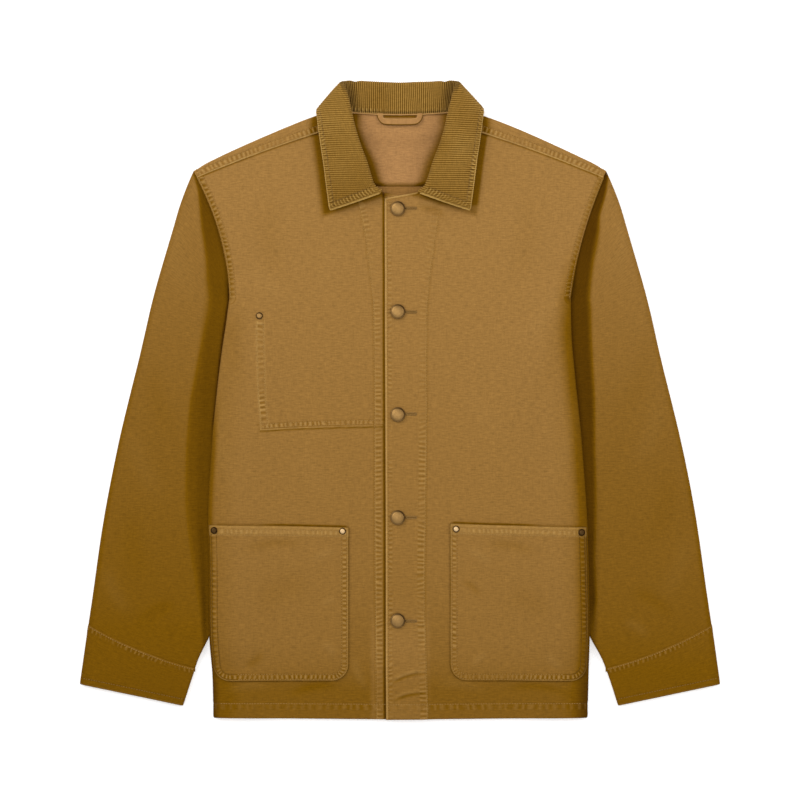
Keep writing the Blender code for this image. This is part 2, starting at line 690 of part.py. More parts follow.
def yoke_path(x, at_armhole):
    """One line of the yoke from the forward shoulder seam over the fold to the yoke seam, as dense points.
    at_armhole moves the line from a straight one (0) on to the armhole's curve (1)."""
    top_x = x + at_armhole * (armhole(ARMHOLE_FRONT_END)[0] - ARMHOLE_GAP - x)
    fold_x = x + at_armhole * (SHOULDER_TIP[0] - ARMHOLE_GAP - x)
    seam_y = float(shoulder_seam(top_x)) + SEAM
    fold_y = float(curve(fold_x, column(SHOULDER_FOLD, 0), column(SHOULDER_FOLD, 1)))
    half = YOKE_TOP / 2.0
    reach = min(FOLD_REACH, (fold_y - seam_y) * FOLD_SHARE)
    turn = np.linspace(math.pi / 2, -math.pi / 2, 17)
    top_y = np.linspace(seam_y, fold_y - reach, 8)[:-1]
    low_y = np.linspace(fold_y - reach, YOKE_SEAM_Y + SEAM / 2, 40)[1:]
    y = np.concatenate([top_y, fold_y - reach + reach * np.cos(turn), low_y])
    z = np.concatenate([np.full(len(top_y), YOKE_TOP), half + half * np.sin(turn), 0.0 * low_y])
    under = np.concatenate([0.0 * top_y, (1.0 - np.sin(turn)) / 2.0, np.ones(len(low_y))])
    share = np.clip((y - UNDERARM[1]) / (SHOULDER_TIP[1] - UNDERARM[1]), 0.0, 1.0)
    curved = armhole(share)[0] - ARMHOLE_GAP - under * back_shift(share)
    px = x + at_armhole * (curved - x)
    return np.stack([px, y, z + leaf_lift(px, y) * np.clip(1.0 - z / half, 0.0, 1.0)], axis=1)


def yoke_line_start(x, points, length):
    """Where the neckline cuts a line of the yoke, as a length along it."""
    if x >= NECK_POINT_X:
        return 0.0
    fold = int(np.argmax(points[:, 1]))
    if x >= NECK_FOLD_X:
        return length[fold] * (NECK_POINT_X - x) / (NECK_POINT_X - NECK_FOLD_X)
    neck_y = BACK_NECK_Y - SEAM + BACK_NECK_RISE * (x / NECK_FOLD_X) ** 2
    return float(np.interp(-neck_y, -points[fold:, 1], length[fold:]))


def yoke(finish):
    """The yoke: both shoulders, wrapped over their folds, and the back between the neck and the yoke seam."""
    outer, inner = [], []
    for x, at_armhole in YOKE_LINES:
        points = yoke_path(x, at_armhole)
        length = np.concatenate([[0.0], np.cumsum(np.linalg.norm(np.diff(points, axis=0), axis=1))])
        start = yoke_line_start(x, points, length)
        fold = float(length[int(np.argmax(points[:, 1]))])
        knee = max(start + YOKE_KNEE_AFTER_START, fold + YOKE_KNEE_AFTER_FOLD)
        at = np.concatenate([np.linspace(start, knee, 8), np.linspace(knee, length[-1], 6)[1:]])
        along = np.gradient(points, axis=0)
        size = np.hypot(along[:, 1], along[:, 2])
        face = np.stack([np.interp(at, length, points[:, axis]) for axis in range(3)], axis=1)
        facing_y = np.interp(at, length, -along[:, 2] / size)
        facing_z = np.interp(at, length, along[:, 1] / size)
        outer.append(face)
        inner.append(face - CLOTH * np.stack([0.0 * at, facing_y, facing_z], axis=1))
    outer, inner = np.array(outer), np.array(inner)
    outer = np.concatenate([mirrored(outer[:0:-1], RIGHT), outer])
    inner = np.concatenate([mirrored(inner[:0:-1], RIGHT), inner])
    return wall("back_yoke", outer, inner, finish)


# ---------------------------------------------------------------- sleeves and cuffs


def ridge_gap(y):
    """Distance from the body's side to the sleeve's crease: wide at the underarm, narrow near the cuff."""
    share = np.clip((y + 280.0) / (UNDERARM[1] + 280.0), 0.0, 1.0)
    return RIDGE_GAP_CUFF + (RIDGE_GAP_UNDERARM - RIDGE_GAP_CUFF) * share


def between_levels(y, levels):
    """1 between two levels, and 0 above the first and below the second."""
    high, high_fade, low, low_fade = levels
    return ease((high - y) / high_fade) * ease((y - low) / low_fade)


def sleeve_top(x, y, side):
    """Height of a sleeve's outer face: a valley along the body's side, a crease, then a level top."""
    beside = x - body_edge(y, side)
    gap = ridge_gap(y)
    creased = between_levels(y, RIDGE_LEVELS)
    rim = SLEEVE_TOP - VALLEY_RIM
    low = rim + (VALLEY_TOP - rim) * between_levels(y, VALLEY_LEVELS)
    rise = ease((beside - VALLEY_FLOOR * gap) / ((1.0 - VALLEY_FLOOR) * gap))
    crest = SLEEVE_TOP + (RIDGE_TOP - SLEEVE_TOP) * creased * ease(1.0 - (beside - gap) / RIDGE_WIDTH)
    return low + (crest - low) * rise


def sleeve_ring(outer_y, inner_y, bow, fan, under_lead, side):
    """One section of a sleeve as outer and inner rings of points. fan is 1 at the armhole, where the
    section follows the armhole's curve, and 0 where its points gather at the valley and the crease.
    under_lead moves the lower layer's end towards the shoulder."""
    outer_x = float(curve(outer_y, column(SLEEVE_OUTER, 0), column(SLEEVE_OUTER, 1)))
    tuck = float(curve(inner_y, column(SLEEVE_TUCK, 0), column(SLEEVE_TUCK, 1)))
    at_armhole = max(0.0, 1.0 - (SHOULDER_TIP[1] - outer_y) / 60.0)
    start = np.array([float(body_edge(inner_y, side)) - tuck * (1.0 - at_armhole), inner_y])
    end = np.array([outer_x, outer_y])
    width = float(np.linalg.norm(end - start))
    gap = float(ridge_gap(inner_y))
    edge = max(tuck, LEAST_TUCK)
    rest = np.linspace(edge + gap + 1.0, width - SLEEVE_EDGE_WIDTH, 6)
    creased = np.concatenate([[0.0, TUCK_EDGE], edge + gap * np.array(CREASE_MARKS), rest])
    across = creased + (width * np.array(ARMHOLE_MARKS) - creased) * fan
    across = np.concatenate([across, width - np.array(SLEEVE_EDGE_MARKS)])
    under = width * np.array(ARMHOLE_UNDER_MARKS)

    def place(distance, inward):
        share = distance / width
        line = start + (end - start) * share[:, None]
        lean = np.array([end[1] - start[1], start[0] - end[0]]) / width
        lean = lean + (np.array([1.0, 0.0]) - lean) * at_armhole
        line = line - bow * (4.0 * share * (1.0 - share))[:, None] * lean
        line[:, 0] -= inward(share) * at_armhole
        line[:, 1] += under_lead * (inward is back_shift)
        return line

    def tucked(share):
        return UNDERARM_TUCK * ease(1.0 - share / UNDERARM_TUCK_SHARE)

    plan = place(across, tucked)
    top = sleeve_top(plan[:, 0], plan[:, 1], side)
    from_end = np.clip(1.0 - (width - across) / SLEEVE_EDGE_WIDTH, 0.0, 1.0)
    top = top - top / 2.0 * (1.0 - np.sqrt(1.0 - from_end**2))
    top[0] = top[1] / 2.0
    floor = place(under, back_shift)
    outer = np.concatenate([np.column_stack([plan, top]), np.column_stack([floor, 0.0 * under])])
    held = place(np.clip(across, CLOTH, width - CLOTH), tucked)
    inside = np.maximum(top - CLOTH, CLOTH + SEAM)
    inside[0] = (CLOTH + inside[1]) / 2.0
    inside[-1] = (CLOTH + inside[-2]) / 2.0
    held_floor = place(np.clip(under, CLOTH + 2 * SEAM, width - CLOTH - 2 * SEAM), back_shift)
    inner = np.concatenate([
        np.column_stack([held, inside]),
        np.column_stack([held_floor, np.full(len(under), CLOTH)]),
    ])
    return outer, inner


def tube(name, stations, bows, fans, leads, start_gap, side, finish):
    """A wall through the sections at the stations. start_gap moves its first section towards the hem."""
    rings = [
        sleeve_ring(outer_y, inner_y, bow, fan, lead, side)
        for (outer_y, inner_y), bow, fan, lead in zip(stations, bows, fans, leads)
    ]
    outer = mirrored([ring[0] for ring in rings], side)
    inner = mirrored([ring[1] for ring in rings], side)
    outer[0, :, 1] -= start_gap
    inner[0, :, 1] -= start_gap
    return wall(name, outer, inner, finish, wrap=True)


def sleeve(side, finish):
    """A sleeve, from the armhole to the cuff seam. Its stations fan out from the underarm."""
    place = np.arange(len(SLEEVE_STATIONS))
    fans = 1.0 - ease((place - FAN_STATIONS[0]) / FAN_STATIONS[1])
    bows = ARMHOLE_BOW * (1.0 - ease(place / BOW_STATIONS))
    bows[-len(SLEEVE_END_BOWS):] = -CUFF_SEAM_BOW * np.array(SLEEVE_END_BOWS)
    leads = np.where(place == place[-1], CUFF_SEAM_LEAD, 0.0)
    return tube(f"sleeve_{SIDE_NAMES[side]}", SLEEVE_STATIONS, bows, fans, leads, 0.0, side, finish)


def cuff(side, finish):
    """A cuff, from its curved seam to the sleeve's hem."""
    bows = -CUFF_SEAM_BOW * np.array(CUFF_BOWS)
    fans = np.zeros(len(CUFF_STATIONS))
    leads = np.append(CUFF_SEAM_LEAD, fans[1:])
    return tube(f"cuff_{SIDE_NAMES[side]}", CUFF_STATIONS, bows, fans, leads, CUFF_GAP, side, finish)


# ---------------------------------------------------------------- collar


def collar_lines():
    """The collar's neck seam, fold line and outer edge as dense points, from its right end to its left."""
    half = np.array(COLLAR_STATIONS).reshape(-1, 3, 3)
    whole = np.concatenate([mirrored(half, RIGHT), half[-2::-1]])
    fold = whole[:, 1]
    length = np.concatenate([[0.0], np.cumsum(np.linalg.norm(np.diff(fold, axis=0), axis=1))])
    stations = 2 * int(round(length[-1] / WALE_PITCH)) + 1
    stations += (-(stations - 1)) % PLAIN_SIDE_STEP
    at = np.linspace(0.0, length[-1], stations)
    return [
        np.stack([curve(at, length, whole[:, line, axis]) for axis in range(3)], axis=1)
        for line in range(3)
    ]


def collar_middle():
    """The middle of the collar's wall: up the stand, round the fold and out along the leaf."""
    seam, fold, edge = collar_lines()
    tangent = np.gradient(fold, axis=0)
    tangent /= np.linalg.norm(tangent, axis=1, keepdims=True)

    def square(vector):
        flat = vector - tangent * (vector * tangent).sum(axis=1, keepdims=True)
        return flat / np.linalg.norm(flat, axis=1, keepdims=True)

    to_seam = square(seam - fold)
    to_edge = square(edge - fold)
    into = square(to_seam + to_edge)
    leaf_side = square(to_edge - into * (to_edge * into).sum(axis=1, keepdims=True))
    centre = fold + COLLAR_ROLL * into
    leaf_start = centre + COLLAR_ROLL * leaf_side
    rows = [seam]
    for angle in np.radians(ROLL_ANGLES):
        rows.append(centre + COLLAR_ROLL * (math.sin(angle) * leaf_side - math.cos(angle) * into))
    rows.append(leaf_start)
    upward = np.clip(leaf_side[:, 2:], 0.0, 1.0)
    for share in LEAF_SHARES:
        crown = LEAF_CROWN * 4.0 * share * (1.0 - share)
        rows.append(leaf_start + (edge - leaf_start) * share + crown * upward * leaf_side)
    return np.stack(rows, axis=1)


def collar(finish):
    """The collar: one wall whose face side carries the corduroy's wales and whose other side is plain."""
    middle = collar_middle()
    facing = normals_of(middle)
    centre = middle.shape[0] // 2
    if facing[centre, 0, 2] < 0:
        facing = -facing
    rise = WALE_RISE * np.where(np.arange(middle.shape[0]) % 2 == 0, -1.0, 1.0)
    face = middle + facing * (CORDUROY / 2 + rise)[:, None, None]
    plain = (middle - facing * CORDUROY / 2)[::PLAIN_SIDE_STEP]
    rows, columns = face.shape[:2]
    plain_rows = plain.shape[0]
    first_plain = rows * columns
    faces = grid_faces(rows, columns, 0)
    faces += [tuple(reversed(quad)) for quad in grid_faces(plain_rows, columns, first_plain)]
    for row, plain_row in ((0, 0), (rows - 1, plain_rows - 1)):
        for col in range(columns - 1):
            a = row * columns + col
            b = first_plain + plain_row * columns + col
            quad = (a, b, b + 1, a + 1)
            faces.append(quad[::-1] if row else quad)
    for col in (0, columns - 1):
        for plain_row in range(plain_rows - 1):
            near = first_plain + plain_row * columns + col
            far = near + columns
            first = plain_row * PLAIN_SIDE_STEP
            fan = [(first + step) * columns + col for step in range(PLAIN_SIDE_STEP + 1)]
            half = PLAIN_SIDE_STEP // 2
            made = [(fan[step], fan[step + 1], near) for step in range(half)]
            made.append((fan[half], far, near))
            made += [(fan[step], fan[step + 1], far) for step in range(half, PLAIN_SIDE_STEP)]
            faces += [triangle[::-1] for triangle in made] if col else made
    points = np.concatenate([face.reshape(-1, 3), plain.reshape(-1, 3)])
    return add_object("collar", points, faces, finish, sharp=30)


def hanger_loop(finish):
    """A narrow band sewn in at the back neck seam, with round lower corners."""
    corner = np.linspace(math.pi, 1.5 * math.pi, 5)
    low_y = LOOP_TOP_Y - LOOP_DROP
    x = -LOOP_HALF_WIDTH + LOOP_CORNER + LOOP_CORNER * np.cos(corner)
    y = low_y + LOOP_CORNER + LOOP_CORNER * np.sin(corner)
    half = np.column_stack([np.concatenate([[-LOOP_HALF_WIDTH], x]), np.concatenate([[LOOP_TOP_Y], y])])
    path = np.concatenate([half, [[0.0, low_y - LOOP_SAG]], half[::-1] * (-1.0, 1.0)])
    along = np.gradient(path, axis=0)
    along /= np.linalg.norm(along, axis=1, keepdims=True)
    aside = np.column_stack([-along[:, 1], along[:, 0]]) * LOOP_BAND / 2
    base = leaf_lift(path[:, 0], path[:, 1]) + CLOTH + LOOP_CLEARANCE
    rise = LOOP_RISE * ease((LOOP_TOP_Y - path[:, 1]) / LOOP_DROP)
    rings = []
    for point, width, low in zip(path, aside, base + rise):
        high = low + LOOP_THICKNESS
        rings.append([(*(point - width), low), (*(point + width), low), (*(point + width), high),
                      (*(point - width), high)])
    rings = np.array(rings)
    faces = grid_faces(len(rings), 4, 0, wrap=True)
    faces += [(3, 2, 1, 0), tuple(4 * (len(rings) - 1) + corner for corner in range(4))]
    return add_object("hanger_loop", rings.reshape(-1, 3), faces, finish)


# ---------------------------------------------------------------- pockets


def pocket(side, finish):
    """A patch pocket that follows the front, with round lower corners and a doubled, slack mouth."""
    levels = np.concatenate([
        [POCKET_TOP_Y, POCKET_TOP_Y - POCKET_HEM, POCKET_TOP_Y - POCKET_HEM - POCKET_HEM_STEP],
        [*POCKET_LEVELS, POCKET_BOTTOM_Y + POCKET_CORNER],
        POCKET_BOTTOM_Y + POCKET_CORNER * (1.0 - np.sin(np.linspace(0.0, math.pi / 2, 5)))[1:],
    ])
    depth = np.clip(POCKET_BOTTOM_Y + POCKET_CORNER - levels, 0.0, POCKET_CORNER)
    cut = POCKET_CORNER - np.sqrt(POCKET_CORNER**2 - depth**2)
    fold = fold_edge(levels, side)[:, None]
    inner_edge = (POCKET_INNER_X + cut)[:, None]
    level_part = inner_edge + (fold - ROLL_MARKS[0] - inner_edge) * np.array(POCKET_SHARES)
    rolled = np.minimum(fold - np.array(ROLL_MARKS[:-1] + (POCKET_EDGE_INSET,)), fold)
    held = fold - POCKET_EDGE_INSET - cut[:, None]
    steps = POCKET_LEAST_STEP * np.arange(len(ROLL_MARKS))[::-1]
    x = np.concatenate([level_part, np.minimum(rolled, held - steps)], axis=1)
    shares = (x - inner_edge) / (held - inner_edge)
    y = np.repeat(levels[:, None], x.shape[1], axis=1)
    points, normals = on_front(x, y, side)
    down = (POCKET_TOP_Y - y) / (POCKET_TOP_Y - POCKET_BOTTOM_Y)
    bulge = np.sin(math.pi * np.clip(shares, 0.0, 1.0)) ** SLACK_POWER
    slack = MOUTH_SLACK * (1.0 - ease(down / SLACK_SHARE)) * bulge
    hem = np.where(y >= POCKET_TOP_Y - POCKET_HEM - 0.1, POCKET_HEM_RISE, 0.0)
    inner = points + normals * (PATCH_GAP + slack)[..., None]
    outer = points + normals * (PATCH_GAP + slack + CLOTH + hem)[..., None]
    return wall(f"pocket_{SIDE_NAMES[side]}", mirrored(outer, side), mirrored(inner, side), finish)


def chest_pocket(finish):
    """A patch on the inside of the right front, stitched through it."""
    across = np.linspace(CHEST_OUTER_X, CHEST_INNER_X, 7)
    x, y = np.meshgrid(across, np.linspace(CHEST_BOTTOM_Y, CHEST_TOP_Y, 5))
    points, normals = on_front(x, y, RIGHT)
    outer = points - normals * (CLOTH + 1.5 * PATCH_GAP)
    inner = points - normals * (2 * CLOTH + 1.5 * PATCH_GAP)
    return wall("chest_pocket", mirrored(outer, RIGHT), mirrored(inner, RIGHT), finish)


# ---------------------------------------------------------------- buttons and rivets


def turned(name, profile, segments, base, axis, finish):
    """A solid turned about an axis that stands on a point."""
    axis = np.asarray(axis, float)
    across = np.cross(axis, (0.0, 1.0, 0.0))
    across /= np.linalg.norm(across)
    onward = np.cross(axis, across)
    angles = np.linspace(0.0, 2 * math.pi, segments, endpoint=False)
    circle = np.cos(angles)[:, None] * across + np.sin(angles)[:, None] * onward
    rings = [np.asarray(base) + axis * height + circle * radius for radius, height in profile[1:-1]]
    points = [np.asarray(base) + axis * profile[0][1], np.asarray(base) + axis * profile[-1][1]]
    points = np.concatenate([np.array(points), *rings])
    last = 2 + (len(rings) - 1) * segments
    faces = grid_faces(len(rings), segments, 2, wrap=True)
    for step in range(segments):
        after = (step + 1) % segments
        faces.append((0, 2 + after, 2 + step))
        faces.append((1, last + step, last + after))
    return add_object(name, points, faces, finish)


def buttons(finish):
    for index in range(BUTTON_COUNT):
        y = BUTTON_TOP_Y - index * BUTTON_PITCH
        base = float(front_top(np.array(BUTTON_X), np.array(y), LEFT)) + SEAM
        turned(f"button_{index + 1}", BUTTON_PROFILE, BUTTON_SEGMENTS, (BUTTON_X, y, base), (0, 0, 1), finish)


def rivets(finish):
    for name, side, x, y in LOWER_RIVETS:
        points, normals = on_front(np.array([x]), np.array([y]), side)
        stand_off = 2 * PATCH_GAP + CLOTH + POCKET_HEM_RISE + RIVET_CLEARANCE
        turned(name, RIVET_PROFILE, RIVET_SEGMENTS, mirrored(points[0] + normals[0] * stand_off, side),
               mirrored(normals[0], side), finish)
    x, y = CHEST_RIVET
    points, normals = on_front(np.array([x]), np.array([y]), RIGHT)
    turned("rivet_5", RIVET_PROFILE, RIVET_SEGMENTS, mirrored(points[0] + normals[0] * 2 * SEAM, RIGHT),
           mirrored(normals[0], RIGHT), finish)


def main():
    for old in list(bpy.data.objects):
        bpy.data.objects.remove(old, do_unlink=True)
    canvas = material("canvas", CANVAS)
    inside = material("canvas_inside", CANVAS_INSIDE)
    cord = material("corduroy", CORD)
    brass = material("antique_brass", BRASS)
    back_panel(canvas)
    yoke(canvas)
    for side in (LEFT, RIGHT):
        front_panel(side, canvas)
        side_turn(side, canvas)
        sleeve(side, canvas)
        cuff(side, canvas)
        pocket(side, canvas)
    chest_pocket(inside)
    collar(cord)
    hanger_loop(inside)
    buttons(brass)
    rivets(brass)


main()
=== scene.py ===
# %% [markdown]
# # A canvas chore jacket with a corduroy collar
# The jacket lies on its back on a pale floor, buttoned, with its sleeves spread. It is cut from one heavy
# cotton canvas, washed until it is soft, with a collar of corduroy and antique brass buttons and rivets.
# Every piece of cloth is a thin wall over a surface that numpy works out on a grid of two parameters. That
# keeps the seams of neighbouring pieces on the same lines, which sculpting each piece by eye would not.
# All sizes are in millimetres until a mesh is made. Left and right are the wearer's: left is +X.

import math

import bpy
import mathutils
import numpy as np
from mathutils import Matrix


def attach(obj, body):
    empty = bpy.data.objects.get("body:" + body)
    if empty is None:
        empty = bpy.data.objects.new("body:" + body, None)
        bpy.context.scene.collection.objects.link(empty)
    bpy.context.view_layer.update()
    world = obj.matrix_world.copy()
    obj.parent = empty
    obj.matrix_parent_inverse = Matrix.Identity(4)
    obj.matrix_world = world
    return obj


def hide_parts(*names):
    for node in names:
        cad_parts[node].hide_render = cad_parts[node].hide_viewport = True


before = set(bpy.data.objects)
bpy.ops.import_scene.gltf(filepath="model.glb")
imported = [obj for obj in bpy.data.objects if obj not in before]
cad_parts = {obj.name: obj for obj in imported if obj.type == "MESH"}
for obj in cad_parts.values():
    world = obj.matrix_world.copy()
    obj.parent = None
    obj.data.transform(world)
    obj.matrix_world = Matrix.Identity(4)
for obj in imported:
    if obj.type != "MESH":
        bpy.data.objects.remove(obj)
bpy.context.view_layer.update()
MM = 0.001  # metres in a millimetre
LEFT, RIGHT = 1, -1
SIDE_NAMES = {LEFT: "left", RIGHT: "right"}
print("nodes in the frame:", len(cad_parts))

# %% [markdown]
# ## Tools for curves and uneven cloth
# Washed cloth is never even: seams shrink at their own rate, and threads are thick and thin. Smooth noise
# gives that. It is a row or a net of random heights joined by a soft curve, with a fixed seed for each use,
# so the jacket comes out the same each time. The lines of the pattern are short tables of measured points,
# and a smooth curve runs through each.

# %% Curves and noise
NOISE_SIZE = 256  # heights in a row of noise, and across a net of it


def ease(value):
    """0 below 0, 1 above 1, and between them 3v^2 - 2v^3, a smooth rise."""
    held = np.clip(value, 0, 1)
    return held * held * (3 - 2 * held)


def column(table, index):
    return np.array([row[index] for row in table], float)


def curve(at, knots, values):
    """A smooth curve through (knots, values): cubic pieces whose slopes are those of their neighbours."""
    order = np.argsort(knots)
    knots = np.asarray(knots, float)[order]
    values = np.asarray(values, float)[order]
    slopes = np.gradient(values, knots)
    at = np.clip(np.asarray(at, float), knots[0], knots[-1])
    piece = np.clip(np.searchsorted(knots, at, side="right") - 1, 0, len(knots) - 2)
    width = knots[piece + 1] - knots[piece]
    share = (at - knots[piece]) / width
    square, cube = share**2, share**3
    return (
        (2 * cube - 3 * square + 1) * values[piece]
        + (cube - 2 * square + share) * width * slopes[piece]
        + (3 * square - 2 * cube) * values[piece + 1]
        + (cube - square) * width * slopes[piece + 1]
    )


def read(table, at, index=1):
    """A smooth curve through a table's first column and another of its columns."""
    return curve(at, column(table, 0), column(table, index))


def line_noise(at, seed):
    """Noise along a line, from -1 to 1: a random height at each whole number, joined by ease()."""
    heights = np.random.default_rng(seed).uniform(-1, 1, NOISE_SIZE)
    low = np.floor(at).astype(int)
    share = ease(at - low)
    return heights[low % NOISE_SIZE] * (1 - share) + heights[(low + 1) % NOISE_SIZE] * share


def plane_noise(x, y, seed):
    """Noise over a plane, from -1 to 1: a random height at each crossing of a net, joined by ease()."""
    heights = np.random.default_rng(seed).uniform(-1, 1, (NOISE_SIZE, NOISE_SIZE))
    low_x, low_y = np.floor(x).astype(int), np.floor(y).astype(int)
    share_x, share_y = ease(x - low_x), ease(y - low_y)
    rows = []
    for step in (0, 1):
        near = heights[low_x % NOISE_SIZE, (low_y + step) % NOISE_SIZE]
        far = heights[(low_x + 1) % NOISE_SIZE, (low_y + step) % NOISE_SIZE]
        rows.append(near * (1 - share_x) + far * share_x)
    return rows[0] * (1 - share_y) + rows[1] * share_y


def bell(off, width=1.0):
    """1 at 0, falling to nothing on both sides: e to the power of minus (off / width) squared."""
    return np.exp(-((off / width) ** 2))


def arch(share):
    """A bow of height 1 from 0 to 1: 4 s (1 - s)."""
    return 4 * share * (1 - share)


def unit(vectors):
    return vectors / np.maximum(np.linalg.norm(vectors, axis=-1, keepdims=True), 1e-9)


def lengths(line):
    """The length along a line up to each of its points: the sum of its steps."""
    return np.concatenate([[0], np.cumsum(np.linalg.norm(np.diff(line, axis=0), axis=-1))])


def sample(line, at, length):
    """Points of a line, or rows of a table, at given lengths along it."""
    return np.stack([np.interp(at, length, values) for values in np.asarray(line).T], axis=1)


def joined(*axes):
    """Points, or rows of a table, from an array or a number for each axis."""
    return np.stack(np.broadcast_arrays(*axes), axis=-1)


print("curve and noise tools are ready")

# %% [markdown]
# ## From a grid to a piece of cloth
# A piece of cloth is a wall: its outer face is a fine grid, because that is where puckers and stitches show,
# and its inner face is a coarser one, because nobody sees it. Fans of triangles join the two at the rims, so
# each piece is closed. Solidify would give both faces the same density and cost twice the triangles.
# Each point also carries masks that the materials read: one for rubbing and painted highlight, one for
# painted shade, and inside.

# %% Mesh making
FAR = 99  # distance from a seam, where there is none
SHEETS = {}  # measured area of each sheet


def add_object(name, data):
    made = bpy.data.objects.new(name, data)
    bpy.context.scene.collection.objects.link(made)
    return made


def add_mesh(name, points, faces, finish, uv=None, masks=None):
    """A mesh object from points in mm and arrays of faces, turned outwards by the sign of its volume."""
    points = np.asarray(points, float)
    volume = 0
    for group in faces:
        for second in range(1, group.shape[1] - 1):
            a, b, c = points[group[:, 0]], points[group[:, second]], points[group[:, second + 1]]
            volume += float(np.einsum("ij,ij->i", a, np.cross(b, c)).sum())
    if volume < 0:
        faces = [group[:, ::-1] for group in faces]
    corners = np.concatenate([group.ravel() for group in faces]).astype(np.int32)
    sizes = np.concatenate([np.full(len(group), group.shape[1]) for group in faces])
    mesh = bpy.data.meshes.new(name)
    mesh.vertices.add(len(points))
    mesh.vertices.foreach_set("co", (points * MM).astype(np.float32).ravel())
    mesh.loops.add(len(corners))
    mesh.loops.foreach_set("vertex_index", corners)
    mesh.polygons.add(len(sizes))
    mesh.polygons.foreach_set("loop_start", (np.cumsum(sizes) - sizes).astype(np.int32))
    mesh.update(calc_edges=True)
    if uv is not None:
        mesh.uv_layers.new(name="cloth").data.foreach_set("uv", (uv[corners] * MM).astype(np.float32).ravel())
    for mask, values in (masks or {}).items():
        kind, key = ("FLOAT_VECTOR", "vector") if values.ndim == 2 else ("FLOAT", "value")
        held = values if values.ndim == 2 else np.clip(values, 0, 1)
        mesh.attributes.new(mask, kind, "POINT").data.foreach_set(key, held.astype(np.float32).ravel())
    mesh.validate()
    mesh.materials.append(finish)
    mesh.shade_smooth()
    return add_object(name, mesh)


def grid_quads(index):
    """Quads between the rows and columns of an array of point numbers."""
    quads = np.stack([index[:-1, :-1], index[:-1, 1:], index[1:, 1:], index[1:, :-1]], axis=-1)
    return quads.reshape(-1, 4)


def rim_fans(fine, coarse, step, flip):
    """Triangles between a fine row of points and a coarse one, which has a point at each step of it."""
    half = (step + 1) // 2
    begin = np.arange(len(coarse) - 1) * step
    made = [np.stack([fine[begin + half], coarse[1:], coarse[:-1]], axis=-1)]
    for part in range(step):
        near = coarse[:-1] if part < half else coarse[1:]
        made.append(np.stack([fine[begin + part], fine[begin + part + 1], near], axis=-1))
    made = np.concatenate(made)
    return made[:, ::-1] if flip else made


def mirrored(points, side):
    """Points of one side, from distances to the centre line."""
    placed = np.array(points, float)
    placed[..., 0] *= side
    return placed


def multiple(count, step):
    """The count of grid lines, at or above a count, for which every step-th line ends on the last."""
    return int(math.ceil((count - 1) / step)) * step + 1


def normals_of(grid, up=None, wrap=False):
    """Unit normals of a grid, from the cross product of its directions, turned to point up at one place."""
    across = (np.roll(grid, -1, axis=1) - np.roll(grid, 1, axis=1)) / 2 if wrap else np.gradient(grid, axis=1)
    normal = unit(np.cross(np.gradient(grid, axis=0), across))
    return normal * np.sign(normal[up][2]) if up else normal


def above_floor(grid):
    grid[..., 2] = np.maximum(grid[..., 2], 0)
    return grid


def layer_area(grid, wrap=False):
    """The area of a grid of points in square metres, from its quads' diagonals."""
    if wrap:
        grid = np.concatenate([grid, grid[:, :1]], axis=1)
    first = grid[1:, 1:] - grid[:-1, :-1]
    second = grid[1:, :-1] - grid[:-1, 1:]
    return float(np.linalg.norm(np.cross(first, second), axis=-1).sum()) / 2 * MM * MM


def cloth_wall(
    name, outer, inner, steps, finish, uv, masks, side=LEFT, sheet=None, wrap=False, inner_deep=None
):
    """A closed wall between two grids of points. Its inner face keeps every steps-th row and column. With
    wrap, the last column joins the first, as in a sleeve. sheet is the grid whose area is the cloth's."""
    rows, columns = outer.shape[:2]
    few = (slice(None, None, steps[0]), slice(None, None, steps[1]))
    inner = inner[few]
    fine = np.arange(rows * columns).reshape(rows, columns)
    coarse = rows * columns + np.arange(inner.shape[0] * inner.shape[1]).reshape(inner.shape[:2])
    if wrap:
        fine, coarse = [np.concatenate([index, index[:, :1]], axis=1) for index in (fine, coarse)]
    rims = [(fine[0], coarse[0], steps[1], True), (fine[-1], coarse[-1], steps[1], False)]
    if not wrap:
        rims += [(fine[:, 0], coarse[:, 0], steps[0], False), (fine[:, -1], coarse[:, -1], steps[0], True)]
    fans = np.concatenate([rim_fans(*rim) for rim in rims])
    both = {}
    for mask in ("wear", "deep", "inside"):
        face = masks.get(mask, np.zeros((rows, columns)))
        back = np.ones(inner.shape[:2]) if mask == "inside" else face[few] * 0.5
        if mask == "deep" and inner_deep is not None:
            back = inner_deep[few]
        both[mask] = np.concatenate([face.ravel(), back.ravel()])
    for field, plain in (("seam", (FAR, 0, 0)), ("rows", (0, 0, 0))):
        face = masks.get(field, np.broadcast_to(plain, (rows, columns, 3)))
        back = np.broadcast_to(plain, inner.shape[:2] + (3,))
        both[field] = np.concatenate([face.reshape(-1, 3), back.reshape(-1, 3)])
    points = mirrored(np.concatenate([outer.reshape(-1, 3), inner.reshape(-1, 3)]), side)
    whole_uv = np.concatenate([uv.reshape(-1, 2), uv[few].reshape(-1, 2)])
    faces = [grid_quads(fine), grid_quads(coarse)[:, ::-1], fans]
    made = add_mesh(name, points, faces, finish, whole_uv, both)
    SHEETS[name] = layer_area(outer if sheet is None else sheet, wrap)
    print(f"{name}: {len(made.data.polygons)} faces, {SHEETS[name]:.4f} m2")
    return made


print("mesh tools are ready")
